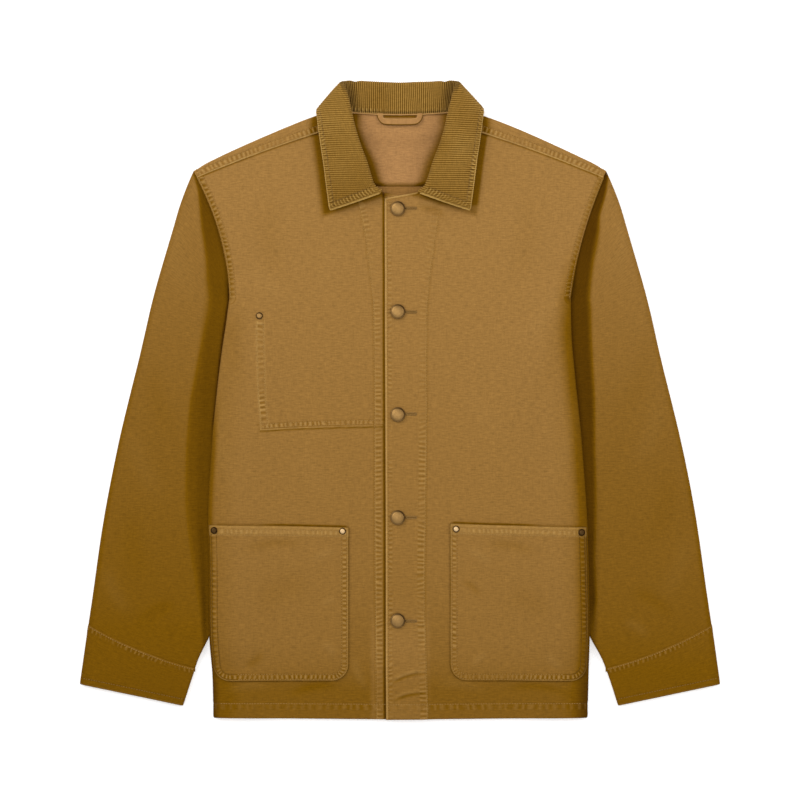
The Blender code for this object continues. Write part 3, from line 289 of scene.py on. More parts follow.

# %% [markdown]
# ## The canvas, as a shader
# Canvas is a plain weave: warp threads run down the piece and weft threads across it, each over one and
# under the next. Two sine waves multiplied together give that basket of small humps. Cotton yarn is uneven,
# so long thin streaks called slubs lie mostly across the cloth. One node group works all this out from the
# piece's own UV map, which is laid in metres, and each cloth material places the group with its own colours.
# The masks add abrasion along seams, painted shade in folds and valleys, painted highlights on crests and
# edges, and the paler wrong side.
# Shader sums are written as sums here: a Signal is a socket whose +, - and * each add one Math node.

# %% Node helpers
class Signal:
    """A value that comes out of a node."""

    def __init__(self, node, output=0):
        self.socket, self.tree = node.outputs[output], node.id_data

    def __add__(self, other):
        return math_node("ADD", self, other)

    def __sub__(self, other):
        return math_node("SUBTRACT", self, other)

    def __rsub__(self, other):
        return math_node("SUBTRACT", other, self)

    def __mul__(self, other):
        return math_node("MULTIPLY", self, other)


def feed(node, values):
    """Links each Signal to its input, and sets each plain number or colour on the input's own socket."""
    for key, value in values.items():
        if isinstance(value, Signal):
            node.id_data.links.new(value.socket, node.inputs[key])
        else:
            node.inputs[key].default_value = value


def add_node(tree, kind, values=None, **settings):
    made = tree.nodes.new("ShaderNode" + kind)
    for key, value in settings.items():
        setattr(made, key, value)
    feed(made, values or {})
    return made


def math_node(operation, first, second=0.0):
    tree = (first if isinstance(first, Signal) else second).tree
    return Signal(add_node(tree, "Math", {0: first, 1: second}, operation=operation))


def mix_colour(share, first, second, blend="MIX"):
    tree = next(value.tree for value in (share, first, second) if isinstance(value, Signal))
    values = {0: share, 6: first, 7: second}
    return Signal(add_node(tree, "Mix", values, data_type="RGBA", blend_type=blend, clamp_factor=True), 2)


def stretched_noise(vector, scale_x, scale_y, detail, roughness=0.5):
    """Noise from 0 to 1, with its own scale along X and along Y, in features to the metre."""
    placed = Signal(add_node(vector.tree, "Mapping", {"Scale": (scale_x, scale_y, 1), "Vector": vector}))
    values = {"Vector": placed, "Scale": 1, "Detail": detail, "Roughness": roughness}
    return Signal(add_node(vector.tree, "TexNoise", values), "Fac")


def new_group(name, inputs, outputs):
    """A node group. inputs are its names with a number's first value, or None for a vector. It gives back
    the group, its inputs as Signals and its last node."""
    group = bpy.data.node_groups.new(name, "ShaderNodeTree")
    for label, first in inputs.items():
        kind = "NodeSocketVector" if first is None else "NodeSocketFloat"
        socket = group.interface.new_socket(name=label, in_out="INPUT", socket_type=kind)
        if first is not None:
            socket.default_value = first
    for label in outputs:
        group.interface.new_socket(name=label, in_out="OUTPUT", socket_type="NodeSocketFloat")
    given, result = group.nodes.new("NodeGroupInput"), group.nodes.new("NodeGroupOutput")
    return group, [Signal(given, label) for label in inputs], result


# %% The weave group
THREAD = 0.00055  # distance between threads, in metres


def make_weave_group():
    """Height: sin(pi x / thread) * sin(pi y / thread), plus slubs. Shade: slubs, specks and soft blotches."""
    group, (at, slub), result = new_group("weave", {"Cloth UV": None, "Slub": 1}, ("Shade", "Height"))
    parts = add_node(group, "SeparateXYZ", {0: at})
    across, along = [math_node("SINE", Signal(parts, axis) * (math.pi / THREAD)) for axis in (0, 1)]
    basket = across * along
    weft, warp = stretched_noise(at, 130, 620, 1), stretched_noise(at, 520, 110, 1)
    specks, blotches = stretched_noise(at, 560, 620, 1), stretched_noise(at, 14, 19, 2)
    slubs = weft * 0.7 + warp * 0.3
    shade = (slubs - 0.5) * slub * 0.8 + 1
    shade = shade + (specks - 0.5) * 0.26 + (blotches - 0.5) * 0.05 + basket * 0.05
    feed(result, {"Shade": shade, "Height": basket * 0.35 + slubs * 1.3})
    return group


WEAVE = make_weave_group()
print("weave group has", len(WEAVE.nodes), "nodes")

# %% [markdown]
# ## Puckers, as a shader
# Between two rows of stitches washed cloth gathers into small ridges, a few millimetres apart. The mesh
# carries, at each point, the distance in from the nearest seam and a phase that grows along it, and the same
# phase drives the mesh's own relief. The shader takes the sine of it and paints a highlight on each crest and
# shade in each trough, so the ridges stay crisp where the mesh is coarse. A second group does that, for every
# cloth.

# %% The pucker group
def ramp_node(value, low, high):
    """0 at low, 1 at high, smooth between. low may lie above high."""
    values = {"Value": value, "From Min": low, "From Max": high}
    return Signal(add_node(value.tree, "MapRange", values, interpolation_type="SMOOTHSTEP"))


def near_node(value, target, reach):
    """1 where value equals target, falling to 0 at reach from it."""
    return ramp_node(math_node("ABSOLUTE", value - target), reach, 0)


def make_pucker_group():
    """Seam is (distance in, phase, width of the band) and Rows (first row, second row, strength).
    Light = a painted highlight on the crests of sin(phase) inside the band, and a rubbed rim. Dark = painted
    shade in its troughs and along both rows."""
    group, given, result = new_group("puckers", {"Seam": None, "Rows": None}, ("Light", "Dark", "Height"))
    seam, rows = [add_node(group, "SeparateXYZ", {0: vector}) for vector in given]
    distance, phase, band = [Signal(seam, axis) for axis in range(3)]
    first, second, strength = [Signal(rows, axis) for axis in range(3)]
    wave = math_node("SINE", phase)
    window = ramp_node(distance - first, 0.1, 1.1) * ramp_node(distance - band, 0.9, -1.1) * strength
    crest, trough = ramp_node(wave, 0.15, 0.85) * window, ramp_node(wave, -0.15, -0.85) * window
    rim = near_node(distance, 1.1, 1.1) * math_node("MAXIMUM", strength, 0.3)
    groove = math_node("MAXIMUM", near_node(distance, first, 0.9), near_node(distance, second, 0.9))
    groove = groove * ramp_node(strength, 0, 0.3)
    feed(result, {"Light": crest * 0.42 + rim * 0.42, "Dark": trough * 0.2 + groove * 0.2})
    feed(result, {"Height": crest - trough - groove})
    return group


PUCKERS = make_pucker_group()
print("pucker group has", len(PUCKERS.nodes), "nodes")

# %% [markdown]
# ## Cloth materials
# The face of the canvas is a warm brown. Where shade falls, in folds and valleys, beside raised edges and
# towards the hem, its colour is painted darker. It is paler where it rubs, and painted paler where a crest or
# an edge catches the light. The wrong side, which shows inside the neck, never rubs or fades as much and
# looks pinker.
# All are one material whose masks choose between four colours, so painted shade runs from one to the other
# without an edge.

# %% Canvas materials
FACE = (0.318, 0.166, 0.044, 1)
# The next two colours are painted shade, and the one after them is rubbed cloth and painted highlight.
HALF_SHADE = (0.178, 0.079, 0.0018, 1)
FULL_SHADE = (0.064, 0.0235, 0.0004, 1)
WORN_AND_HIGHLIGHT = (0.48, 0.285, 0.088, 1)
WRONG_SIDE = (0.405, 0.208, 0.074, 1)


def new_material(name):
    """A material, its node tree and its shader."""
    made = bpy.data.materials.new(name)
    made.use_nodes = True
    return made, made.node_tree, made.node_tree.nodes["Principled BSDF"]


def read_mask(tree, name, output="Fac"):
    return Signal(add_node(tree, "Attribute", attribute_name=name, attribute_type="GEOMETRY"), output)


def shade_ramp(depth, *colours):
    """A ramp of three colours along the painted shade."""
    ramp = add_node(depth.tree, "ValToRGB", {"Fac": depth})
    ramp.color_ramp.elements.new(0.5)
    for stop, colour in zip(ramp.color_ramp.elements, colours):
        stop.color = colour
    return Signal(ramp, "Color")


def bump_node(tree, strength, distance, height):
    return Signal(add_node(tree, "Bump", {"Strength": strength, "Distance": distance, "Height": height}))


def cloth_material(name, face, half, deep, worn_and_highlight, wrong, slub=1.0, bump=0.35, sheen=0.0):
    """Face to painted-shade colours by the shade mask, then the rubbed and highlight colour and the wrong
    side by theirs, shaded by the weave.
    """
    made, tree, shader = new_material(name)
    uv = Signal(add_node(tree, "UVMap", uv_map="cloth"))
    weave = add_node(tree, "Group", node_tree=WEAVE)
    feed(weave, {"Cloth UV": uv, "Slub": slub})
    gathers = add_node(tree, "Group", node_tree=PUCKERS)
    feed(gathers, {"Seam": read_mask(tree, "seam", "Vector"), "Rows": read_mask(tree, "rows", "Vector")})
    # Painted shade: the shade mask, plus the puckers' painted shade in their troughs and along the rows.
    depth = read_mask(tree, "deep") + Signal(gathers, "Dark")
    right_side, wrong_side = shade_ramp(depth, face, half, deep), shade_ramp(depth, wrong, half, deep)
    colour = mix_colour(read_mask(tree, "inside"), right_side, wrong_side)
    # Painted highlight on the puckers' crests, with their rubbed rim, less where shade is painted; then
    # rubbing and painted highlight from the other mask.
    crest_highlight_and_rub = Signal(gathers, "Light") * (1 - read_mask(tree, "deep") * 0.45)
    colour = mix_colour(read_mask(tree, "wear") + crest_highlight_and_rub, colour, worn_and_highlight)
    shade = Signal(weave, "Shade")
    grey = Signal(add_node(tree, "CombineXYZ", {axis: shade for axis in range(3)}))
    height = Signal(weave, "Height") + Signal(gathers, "Height")
    feed(shader, {
        "Base Color": mix_colour(1, colour, grey, "MULTIPLY"),
        "Roughness": shade * -0.12 + 1,
        "Normal": bump_node(tree, bump, 0.00025, height),
        "Sheen Weight": sheen,
        "Sheen Roughness": 0.6,
        "Sheen Tint": (1, 0.72, 0.34, 1),
        "Specular IOR Level": 0.03,
    })
    return made


canvas = cloth_material("canvas", FACE, HALF_SHADE, FULL_SHADE, WORN_AND_HIGHLIGHT, WRONG_SIDE)
inside_canvas = cloth_material("canvas_inside", WRONG_SIDE, HALF_SHADE, FULL_SHADE, WORN_AND_HIGHLIGHT, WRONG_SIDE, 0.7)
print("canvas materials:", canvas.name, inside_canvas.name)

# %% [markdown]
# Corduroy is woven with ribs of cut pile called wales. The ribs are real geometry here, so the shader only
# adds the nap: short soft streaks along each rib, painted shade on the ground between ribs, a painted
# highlight on their tips, and a stronger sheen, because pile catches light at its tips. Thread is a twisted
# yarn a little paler than the cloth.

# %% Corduroy and thread
CORD_FACE = (0.262, 0.131, 0.018, 1)
# The next two colours are painted shade, and the one after them is rubbed pile and painted highlight.
CORD_HALF_SHADE = (0.13, 0.058, 0.0035, 1)
CORD_FULL_SHADE = (0.036, 0.013, 0.0005, 1)
CORD_WORN_AND_HIGHLIGHT = (0.56, 0.345, 0.095, 1)
corduroy = cloth_material("corduroy", CORD_FACE, CORD_HALF_SHADE, CORD_FULL_SHADE, CORD_WORN_AND_HIGHLIGHT, WRONG_SIDE, 0.9, 0.5, 0.1)


def thread_material():
    """Plain cotton thread: one colour, broken by fine noise on Object coordinates, and darkened by a mask
    where shade is painted.
    """
    made, tree, shader = new_material("sewing_thread")
    noise = stretched_noise(Signal(add_node(tree, "TexCoord"), "Object"), 700, 700, 2)
    colour = mix_colour(noise, (0.33, 0.175, 0.042, 1), (0.52, 0.31, 0.105, 1))
    colour = mix_colour(read_mask(tree, "deep"), colour, FULL_SHADE)
    feed(shader, {"Base Color": colour, "Roughness": noise * 0.2 + 0.75, "Specular IOR Level": 0.1})
    return made


thread = thread_material()
print("corduroy and thread are ready")

# %% [markdown]
# ## Antique brass
# The buttons and rivets are stamped brass with a dark patina that has been rubbed off where they are high.
# The cloth's two masks serve here too: one darkens the grooves with patina and paints shade on the buttons'
# outer walls and upper right sides and on the two rivets at the rolled sides, and the other brightens the
# rubbed heads of rivets.
# Faint brushed streaks cross each dome, which a stretched noise on Object coordinates gives.

# %% Brass
def brass_material():
    """Brass, darkened by one mask, for oxide in its grooves and painted shade, and brightened by the other
    where rubbed, with brushed streaks in colour and roughness.
    """
    made, tree, shader = new_material("antique_brass")
    place = Signal(add_node(tree, "TexCoord"), "Object")
    turned = Signal(add_node(tree, "Mapping", {"Rotation": (0, 0, 0.7), "Vector": place}))
    streaks = stretched_noise(turned, 260, 2600, 3, 0.6)
    patches = stretched_noise(place, 420, 420, 3)
    colour = mix_colour(streaks, (0.27, 0.14, 0.04, 1), (0.62, 0.39, 0.142, 1))
    colour = mix_colour(patches * 0.55, colour, (0.2, 0.095, 0.028, 1))
    colour = mix_colour(read_mask(tree, "wear"), colour, (0.86, 0.62, 0.34, 1))
    colour = mix_colour(read_mask(tree, "deep"), colour, (0.026, 0.01, 0.002, 1))
    feed(shader, {"Base Color": colour, "Roughness": streaks * 0.24 + 0.38, "Metallic": 1})
    feed(shader, {"Normal": bump_node(tree, 0.25, 0.0001, streaks)})
    return made


brass = brass_material()
print("brass is ready")

# %% [markdown]
# ## Lines of the pattern
# These tables are the jacket's own measurements. Each holds one side, as distances from the centre line. The
# body is 44.6 cm wide between its side folds, about 5 cm is turned under at each side, and the sleeves' inner
# edges are tucked under the body, as when a jacket is laid out on a table and smoothed.

# %% Sizes and tables
CLOTH = 1.5  # wall of one layer of canvas
HEM_Y = -378.6
PLACKET_HEM_Y = -380.8
YOKE_SEAM_Y = 255
UNDERARM = (203, 121.4)
SHOULDER_TIP = (246.2, 272.8)
ARMHOLE_BOW = {LEFT: 5.5, RIGHT: 10}
ARMHOLE_FRONT_END = 0.943
UNDERARM_TUCK = 10
UNDERARM_TUCK_SHARE = 0.22
BACK_SEAM_SHIFT = 3
MIDDLE_TOP = 6.3
SIDE_TOP = 9
ARMHOLE_TOP = 6.9
YOKE_TOP = 7.4
OVERLAP_RISE = 2.3
OVERLAP_WIDTH = 22
TURN_WIDTH = 44
ROLL_TOP_WIDTH = 26
ROLL_UNDER_WIDTH = 6
TURN_TOP_Y = 78
SLEEVE_LIFT = 3.8
BODY_SIDE = (
    # y, right_x, left_x
    (121.4, 203, 203), (70, 210.6, 204.6), (20, 216.5, 209.3), (-60, 224, 217.3), (-140, 228.6, 222.8),
    (-200, 227.6, 224.4), (-285, 226.6, 225.8), (-330, 223.4, 224.8), (-381, 222.5, 223.7),
)
FRONT_ROWS = (
    # start_x, start_y, side_y, armhole_share
    (-16.5, PLACKET_HEM_Y, HEM_Y, None),
    (-17, -313, -317, None),
    (-17, -258, -267, None),
    (-17.1, -145, -160, None),
    (-17.4, -62, -82, None),
    (-17.7, 20, -8, None),
    (-18, 85, 46, None),
    (-18, 110, TURN_TOP_Y, None),
    (-18, 148, 113, None),
    (-18.1, 158, None, 0),
    (-18.2, 178, None, 0.12),
    (-18.3, 206, None, 0.3),
    (-18.4, 240.4, None, 0.48),
    (19.5, 247.2, None, 0.57),
    (39, 255, None, 0.665),
    (55, 269.5, None, 0.76),
    (69, 286, None, 0.85),
    (78.5, 305, None, 0.91),
    (83.5, 322, None, ARMHOLE_FRONT_END),
)
SHOULDER_BOW = 2.6
SHOULDER_FOLD = ((76, 346.4), (100, 338.8), (160, 315), (205, 294.5), (232, 281), (246.2, 272.8))
FOLD_REACH = 7
NECK_POINT_X = 84
NECK_FOLD_X = 77
BACK_NECK_Y = 340
BACK_NECK_RISE = 4
print("body", 2 * BODY_SIDE[-1][2], "mm wide at the hem")

# %% [markdown]
# The height of each panel above the floor is a function of its place: level in the middle, higher beside the
# side folds where the sleeve's edge lies underneath, and rolling over to the fold like the edge of a cushion.

# %% Heights of the body
def armhole(share, side=RIGHT):
    """The armhole in plan from the underarm (0) to the shoulder tip (1): a line bowed towards the body."""
    share = np.asarray(share, float)
    x = UNDERARM[0] + share * (SHOULDER_TIP[0] - UNDERARM[0])
    return x - ARMHOLE_BOW[side] * arch(share), UNDERARM[1] + share * (SHOULDER_TIP[1] - UNDERARM[1])


def up_armhole(y):
    return np.clip((y - UNDERARM[1]) / (SHOULDER_TIP[1] - UNDERARM[1]), 0, 1)


def body_edge(y, side):
    """Distance of the body's side from the centre line: its fold, and above the underarm its armhole."""
    y = np.asarray(y, float)
    fold = read(BODY_SIDE, y, 2 if side == LEFT else 1)
    return np.where(y > UNDERARM[1], armhole(up_armhole(y), side)[0], fold)


def fold_edge(y, side):
    return body_edge(y, side) + (ROLL_TOP_WIDTH + 4) * ease((y - UNDERARM[1]) / 45)


def side_top(y):
    return ARMHOLE_TOP + (SIDE_TOP - ARMHOLE_TOP) * ease((UNDERARM[1] + 20 - y) / 60)


def lift(inside, y, start=42, width=13):
    """How far the sleeve's tucked edge raises the body, at a distance inside the side fold."""
    along = ease((y + 325) / 42) * ease((UNDERARM[1] + 30 - y) / 25)
    return SLEEVE_LIFT * along * ease((start - inside) / width)


def back_shift(share):
    near = (UNDERARM_TUCK + 0.3) * ease(1 - share / UNDERARM_TUCK_SHARE)
    return np.maximum(near, BACK_SEAM_SHIFT * ease(share / 0.1) * ease((0.97 - share) / 0.2))


def shoulder_seam(x):
    """Level of the forward shoulder seam: a straight line with a slight bow."""
    front_x, front_y = armhole(ARMHOLE_FRONT_END)
    start_x, start_y = FRONT_ROWS[-1][:2]
    share = np.clip((x - start_x) / (front_x - start_x), 0, 1)
    return start_y + (front_y - start_y) * share + SHOULDER_BOW * arch(share)


def drop(fall):
    """How far a quarter circle of radius 1 has dropped at a share of its width: 1 - sqrt(1 - f^2)."""
    return 1 - np.sqrt(1 - np.clip(fall, 0, 1) ** 2)


def front_top(x, y, side):
    """Height of a front's outer face at a distance x from the centre line."""
    inside = fold_edge(y, side) - x
    height = MIDDLE_TOP + (side_top(y) - MIDDLE_TOP) * ease((95 - inside) / 60)
    if side == LEFT:
        height = height + OVERLAP_RISE * (1 - ease((x - OVERLAP_WIDTH) / 24))
    height = height - side_top(y) / 2 * drop(1 - inside / ROLL_TOP_WIDTH)
    return height + lift(inside, y, 88, 58)


print("height of the left front at its middle:", round(float(front_top(100, 0, LEFT)), 1), "mm")

# %% [markdown]
# ## Seams that pucker
# When a garment is washed, its thread shrinks less or more than the cloth, and every stitched edge gathers
# into small ridges across the seam. They are what makes such a jacket look real, so they are geometry here:
# noise along the seam, leaning a little, strongest between the stitch rows and dying out beyond them, with a
# narrow groove where each row pulls the layers together. A function finds each point's distance from a seam
# line and its length along the line, so the same rule works for straight, curved and rounded seams.

# %% Seam tools
def beside(x, y, line, reach):
    """How far to the left of a line each point lies, and how far along the line, by the nearest of the
    line's straight pieces. Points further off than reach get reach."""
    line = np.asarray(line, float)
    off = np.full(x.shape, float(reach))
    along = np.zeros(x.shape)
    low, high = line.min(axis=0) - reach, line.max(axis=0) + reach
    near = (x > low[0]) & (x < high[0]) & (y > low[1]) & (y < high[1])
    px, py = x[near], y[near]
    best, d, s = np.full(px.shape, reach**2), np.full(px.shape, float(reach)), np.zeros(px.shape)
    start = 0
    for (ax, ay), (bx, by) in zip(line[:-1], line[1:]):
        length = math.hypot(bx - ax, by - ay)
        tx, ty = (bx - ax) / length, (by - ay) / length
        t = np.clip((px - ax) * tx + (py - ay) * ty, 0, length)
        dx, dy = px - ax - t * tx, py - ay - t * ty
        far = dx * dx + dy * dy
        closer = far < best
        best = np.where(closer, far, best)
        d = np.where(closer, np.where(tx * dy - ty * dx < 0, -1, 1) * np.sqrt(far), d)
        s = np.where(closer, start + t, s)
        start += length
    off[near], along[near] = d, s
    return off, along


PUCKER_PITCH = 5.6  # length of one ridge and one trough along a seam


def gathering(d, s, band, seed, pitch=PUCKER_PITCH):
    """Phase and strength of the puckers at a distance d in from a seam and a length s along it.
    Phase = 2 pi (s, leaning with d) / pitch + noise, so no two ridges are alike."""
    lean = s + 0.3 * (np.clip(d, 0, band) - band / 2) * line_noise(s / 23, seed + 1)
    phase = 2 * math.pi * lean / pitch + 1.7 * line_noise(s / 8, seed + 2)
    strength = np.clip(0.7 + 0.55 * line_noise(s / 27, seed + 4), 0.12, 1)
    return phase, strength


class Relief:
    """Sums of relief, of rubbing and painted highlight, and of painted shade over one grid of points, and the
    fields of its nearest seam.
    """

    def __init__(self, x, y):
        self.x, self.y = x, y
        self.height, self.wear, self.deep = np.zeros((3, *x.shape))
        self.fields = {"seam": np.zeros(x.shape + (3,)), "rows": np.zeros(x.shape + (3,))}
        self.fields["seam"][..., 0] = FAR
        self.beyond = np.full(x.shape, FAR)

    def off(self, line, reach):
        return beside(self.x, self.y, line, reach)[0]

    def darken(self, amount, *off):
        """Raises the painted shade to an amount where the distances off are 0. Each of off is a distance over
        a width.
        """
        self.deep = np.maximum(self.deep, amount * bell(*off))

    # Rubbing and painted highlight: raises the pale mask to an amount where the distances off are 0.
    def rub_and_highlight(self, amount, *off):
        self.wear = np.maximum(self.wear, amount * bell(*off))

    def seam(self, line, rows, band, depth, seed, share=1.0, ticks=1.0, pitch=PUCKER_PITCH):
        """Adds a stitched edge whose cloth lies to the left of the line. share scales it over the piece."""
        self.gather(*beside(self.x, self.y, line, band + 8), rows, band, depth, seed, share, ticks, pitch)

    def gather(self, d, s, rows, band, depth, seed, share=1.0, ticks=1.0, pitch=PUCKER_PITCH):
        """Relief = sin(phase) x a window across the seam, less a narrow groove at each stitch row."""
        phase, strength = gathering(d, s, band, seed, pitch)
        strength = strength * share
        inside = (d < band + 7.9) * 1
        fade = ease((d + 1.5) / 2.5) * (1 - ease((d - band) / 7.5)) * inside
        groove = np.max([np.zeros_like(d)] + [bell(d - row, 0.85) for row in rows], axis=0)
        self.height += depth * (0.75 * np.sin(phase) * strength * fade - 0.5 * groove * share * inside)
        beyond = np.maximum(np.maximum(-d, d - band), 0) + 0.01 * np.abs(d)
        nearer = (beyond < self.beyond) & (inside > 0) & (np.broadcast_to(share, d.shape) > 0.02)
        self.beyond = np.where(nearer, beyond, self.beyond)
        first, second = (tuple(rows) + (-FAR, -FAR))[:2]
        found = {"seam": (d, phase, band), "rows": (max(first, 0), second, strength * ticks)}
        for field, values in found.items():
            values = np.stack(np.broadcast_arrays(*values), axis=-1)
            self.fields[field] = np.where(nearer[..., None], values, self.fields[field])

    def masks(self, keep, **masks):
        """The masks given, with the seam fields, which are plain where keep is false."""
        for values in self.fields.values():
            values[~keep] = (FAR, 0, 0)
        return {**masks, **self.fields}

    def creases(self, table):
        """Soft troughs and ridges: depth x a bell across each line, tapering to nothing at its ends."""
        for x0, y0, x1, y1, width, depth in table:
            length = math.hypot(x1 - x0, y1 - y0)
            tx, ty = (x1 - x0) / length, (y1 - y0) / length
            t = ((self.x - x0) * tx + (self.y - y0) * ty) / length
            bow = 0.08 * length * np.sin(math.pi * np.clip(t, 0, 1))
            off = (self.x - x0) * -ty + (self.y - y0) * tx - bow
            swell = ease(t / 0.35) * ease((1 - t) / 0.45) * bell(off, width)
            self.height += depth * swell
            # Troughs get painted shade, and ridges a painted highlight, by how steep they are.
            shade = min(abs(depth) * 0.9 / width, 0.34)
            if depth < 0:
                self.deep += shade * swell
            else:
                self.wear += 0.7 * shade * swell

    def uneven(self, seed, amount=1.0):
        """Broad and small unevenness of cloth that has been smoothed by hand."""
        broad = plane_noise(self.x / 62 + 40, self.y / 95 + 40, seed)
        small = plane_noise(self.x / 17 + 40, self.y / 24 + 40, seed + 1)
        self.height += amount * (0.55 * broad + 0.13 * small)


print("seam tools are ready")

# %% [markdown]
# ## Stitches
# A topstitch is a row of short lengths of thread, each lying on the cloth and diving in at both ends. One
# stitch is a slim spindle of sixteen triangles, copied along a seam at the machine's stitch length. Drawing
# them in the shader would be cheaper, but real ones catch the light and follow the puckers. All the stitches
# of a piece are one mesh, made after the piece so that they lie on its finished surface.

# %% Stitch maker
STITCH_PITCH = 3.1
STITCH_LENGTH = 2.3
STITCH_RADIUS = 0.33
sewn = {}


# The fourth argument darkens the row's thread with painted shade, where the cloth around it is shaded.
def sew(piece, points, normals, deep, lay=0.1):
    """Stitches along a line of surface points: spindles at equal lengths, aligned with the line."""
    points, normals = np.asarray(points, float), np.asarray(normals, float)
    length = lengths(points)
    at = np.arange(STITCH_PITCH / 2, length[-1] - STITCH_PITCH / 2, STITCH_PITCH)
    seed = len(points) + len(sewn.get(piece, ()))
    at = at + 0.25 * np.random.default_rng(seed).uniform(-1, 1, len(at))
    half = STITCH_LENGTH / 2
    centre, head, tail = [sample(points, at + shift, length) for shift in (0, half, -half)]
    up, ahead = unit(sample(normals, at, length)), unit(head - tail)
    aside = np.cross(ahead, up)
    rings = [(tail - up * 0.25)[:, None]]
    for share in (-0.45, 0.45):
        middle = centre + ahead * share * STITCH_LENGTH * 0.8 + up * lay
        for angle in math.pi / 4 + np.arange(4) * math.pi / 2:
            out = np.cos(angle) * aside + 0.8 * np.sin(angle) * up
            rings.append((middle + STITCH_RADIUS * out)[:, None])
    rings.append((head - up * 0.25)[:, None])
    sewn.setdefault(piece, []).append((np.concatenate(rings, axis=1), deep))
    return len(at)


def finish_sewing(piece):
    """One mesh from all the stitches sewn on a piece."""
    deep = np.concatenate([np.full(len(block) * 10, value) for block, value in sewn[piece]])
    points = np.concatenate([block for block, _ in sewn[piece]]).reshape(-1, 3)
    first = (np.arange(len(points) // 10) * 10)[:, None]
    quads, ends = [], []
    for turn in range(4):
        after = (turn + 1) % 4
        quads.append(first + np.array([[1 + turn, 1 + after, 5 + after, 5 + turn]]))
        ends.append(first + np.array([[0, 1 + after, 1 + turn]]))
        ends.append(first + np.array([[9, 5 + turn, 5 + after]]))
    faces = [np.concatenate(quads), np.concatenate(ends)]
    return add_mesh(f"stitches_{piece}", points, faces, thread, None, {"deep": deep})


def along_line(line, step=1.5):
    """A line of plan points at equal steps of its length."""
    length = lengths(line)
    return sample(line, np.linspace(0, length[-1], max(3, int(length[-1] / step))), length)


def inset(line, distance):
    """A line moved to its left by a distance."""
    ahead = unit(np.gradient(np.asarray(line, float), axis=0))
    return line + distance * np.column_stack([-ahead[:, 1], ahead[:, 0]])


print("stitches are", STITCH_PITCH, "mm apart")

# %% [markdown]
# ## Painted shade
# Shade is painted into the cloth's colour where it falls: in the valley between body and sleeve, beside and
# under the collar's leaf, at the side folds, and darker towards the hem and at the sleeve ends. One function
# of place gives it, so that neighbouring pieces agree along their seams.

# %% Painted shade
COLLAR_STATIONS = (
    # seam_x, seam_y, seam_z, fold_x, fold_y, fold_z, edge_x, edge_y, edge_z
    (24, 245.6, 11.6, 22, 247.4, 15.5, 83.9, 224.4, 13),
    (34.5, 251, 11.4, 30.8, 254.4, 17.2, 85, 232.6, 13.3),
    (41.5, 257.6, 11.2, 33.9, 262.4, 18.6, 86.3, 242.6, 13.6),
    (57.5, 272, 10.6, 40, 283, 21, 88.9, 263.4, 14.2), (71, 288, 10.2, 48, 303, 23, 91.6, 285, 14.6),
    (79.5, 306.5, 9.9, 54.5, 325, 24.5, 94.9, 308.2, 14.6),
    (83, 323, 9.6, 58.6, 342, 24.5, 97.2, 325.2, 14), (80.5, 337.5, 9, 63, 360, 22.5, 98.9, 337.4, 12),
    (75.5, 345.2, 7.6, 66.4, 371.8, 17.5, 99.4, 342.8, 8.4),
    (68.5, 346, 6.6, 68, 377, 11.5, 97.8, 345.2, 5), (61, 343.2, 6, 64.5, 378.6, 7.4, 90, 342.4, 2.4),
    (48, 341.8, 5.9, 49, 379, 5, 72, 335.5, 2), (26, 340.9, 5.8, 26.5, 378, 4.4, 40, 325.5, 1.9),
    (0, 340.6, 5.8, 0, 377.2, 4.4, 0, 321, 1.9),
)
LEAF_EDGE = [row[6:8] for row in COLLAR_STATIONS[:8]]
SHADE_DOWN = (
    # y, painted shade on the body, on the left sleeve, on the right sleeve
    (272, 0.01, 0.1, 0.16), (178, 0.04, 0.14, 0.22), (60, 0.08, 0.25, 0.31), (-36, 0.13, 0.34, 0.38),
    (-100, 0.15, 0.38, 0.41), (-180, 0.18, 0.41, 0.45), (-260, 0.26, 0.45, 0.49),
    (-320, 0.36, 0.5, 0.54), (-345, 0.45, 0.52, 0.56), (-381, 0.42, 0.54, 0.57),
)
# The band beside the leaf is a painted shadow of the leaf.
LEAF_SHADE = {LEFT: (10.2, 4), RIGHT: (14, 11)}  # end and softness of the band beside the leaf
EDGE_SHADE = {
    # painted shade at the body's side fold, its width, and the level where it begins
    LEFT: (0.41, 22, 200),
    RIGHT: (0.36, 10, 20),
}


def shade_down(y, index):
    return read(SHADE_DOWN, y, index)


def under_leaf(x, y, side):
    """Painted shadow beside and below the collar's leaf, from the distance beyond its outer and lower edges.
    """
    beyond = np.maximum(x - np.interp(y, column(LEAF_EDGE, 1), column(LEAF_EDGE, 0)), 0)
    below = np.maximum(LEAF_EDGE[0][1] + (LEAF_EDGE[0][0] - x) * 0.325 - y, 0)
    end, soft = LEAF_SHADE[side]
    aside = ease((end - beyond) / soft) * ease((7 - below) / 7)
    if side == LEFT:
        aside = aside * (0.5 + 0.5 * ease((y - 229) / 6))
    return 0.58 * aside * np.where(below > 0, 0.8, 1)


def body_shade(x, y, side):
    """Painted shade, 0 to 1, on the body: low on the chest, rising to the hem and the side folds, high under
    the collar.
    """
    inside = body_edge(y, side) - x
    amount, width, start = EDGE_SHADE[side]
    edge = amount * ease((width - inside) / width) * ease((start - y) / 80)
    fold = 0.12 * ease((42 - inside) / 42) * ease((140 - y) / 60)
    placket = 0.16 * ease((38 - x) / 8) * ease((-220 - y) / 80)
    down = shade_down(y, 1) - (0.03 if side == LEFT else 0.01) - placket
    return np.clip(down + edge + fold + under_leaf(x, y, side), 0, 1)


print("depth at the hem:", round(float(body_shade(np.array(100), np.array(-370), LEFT)), 2))

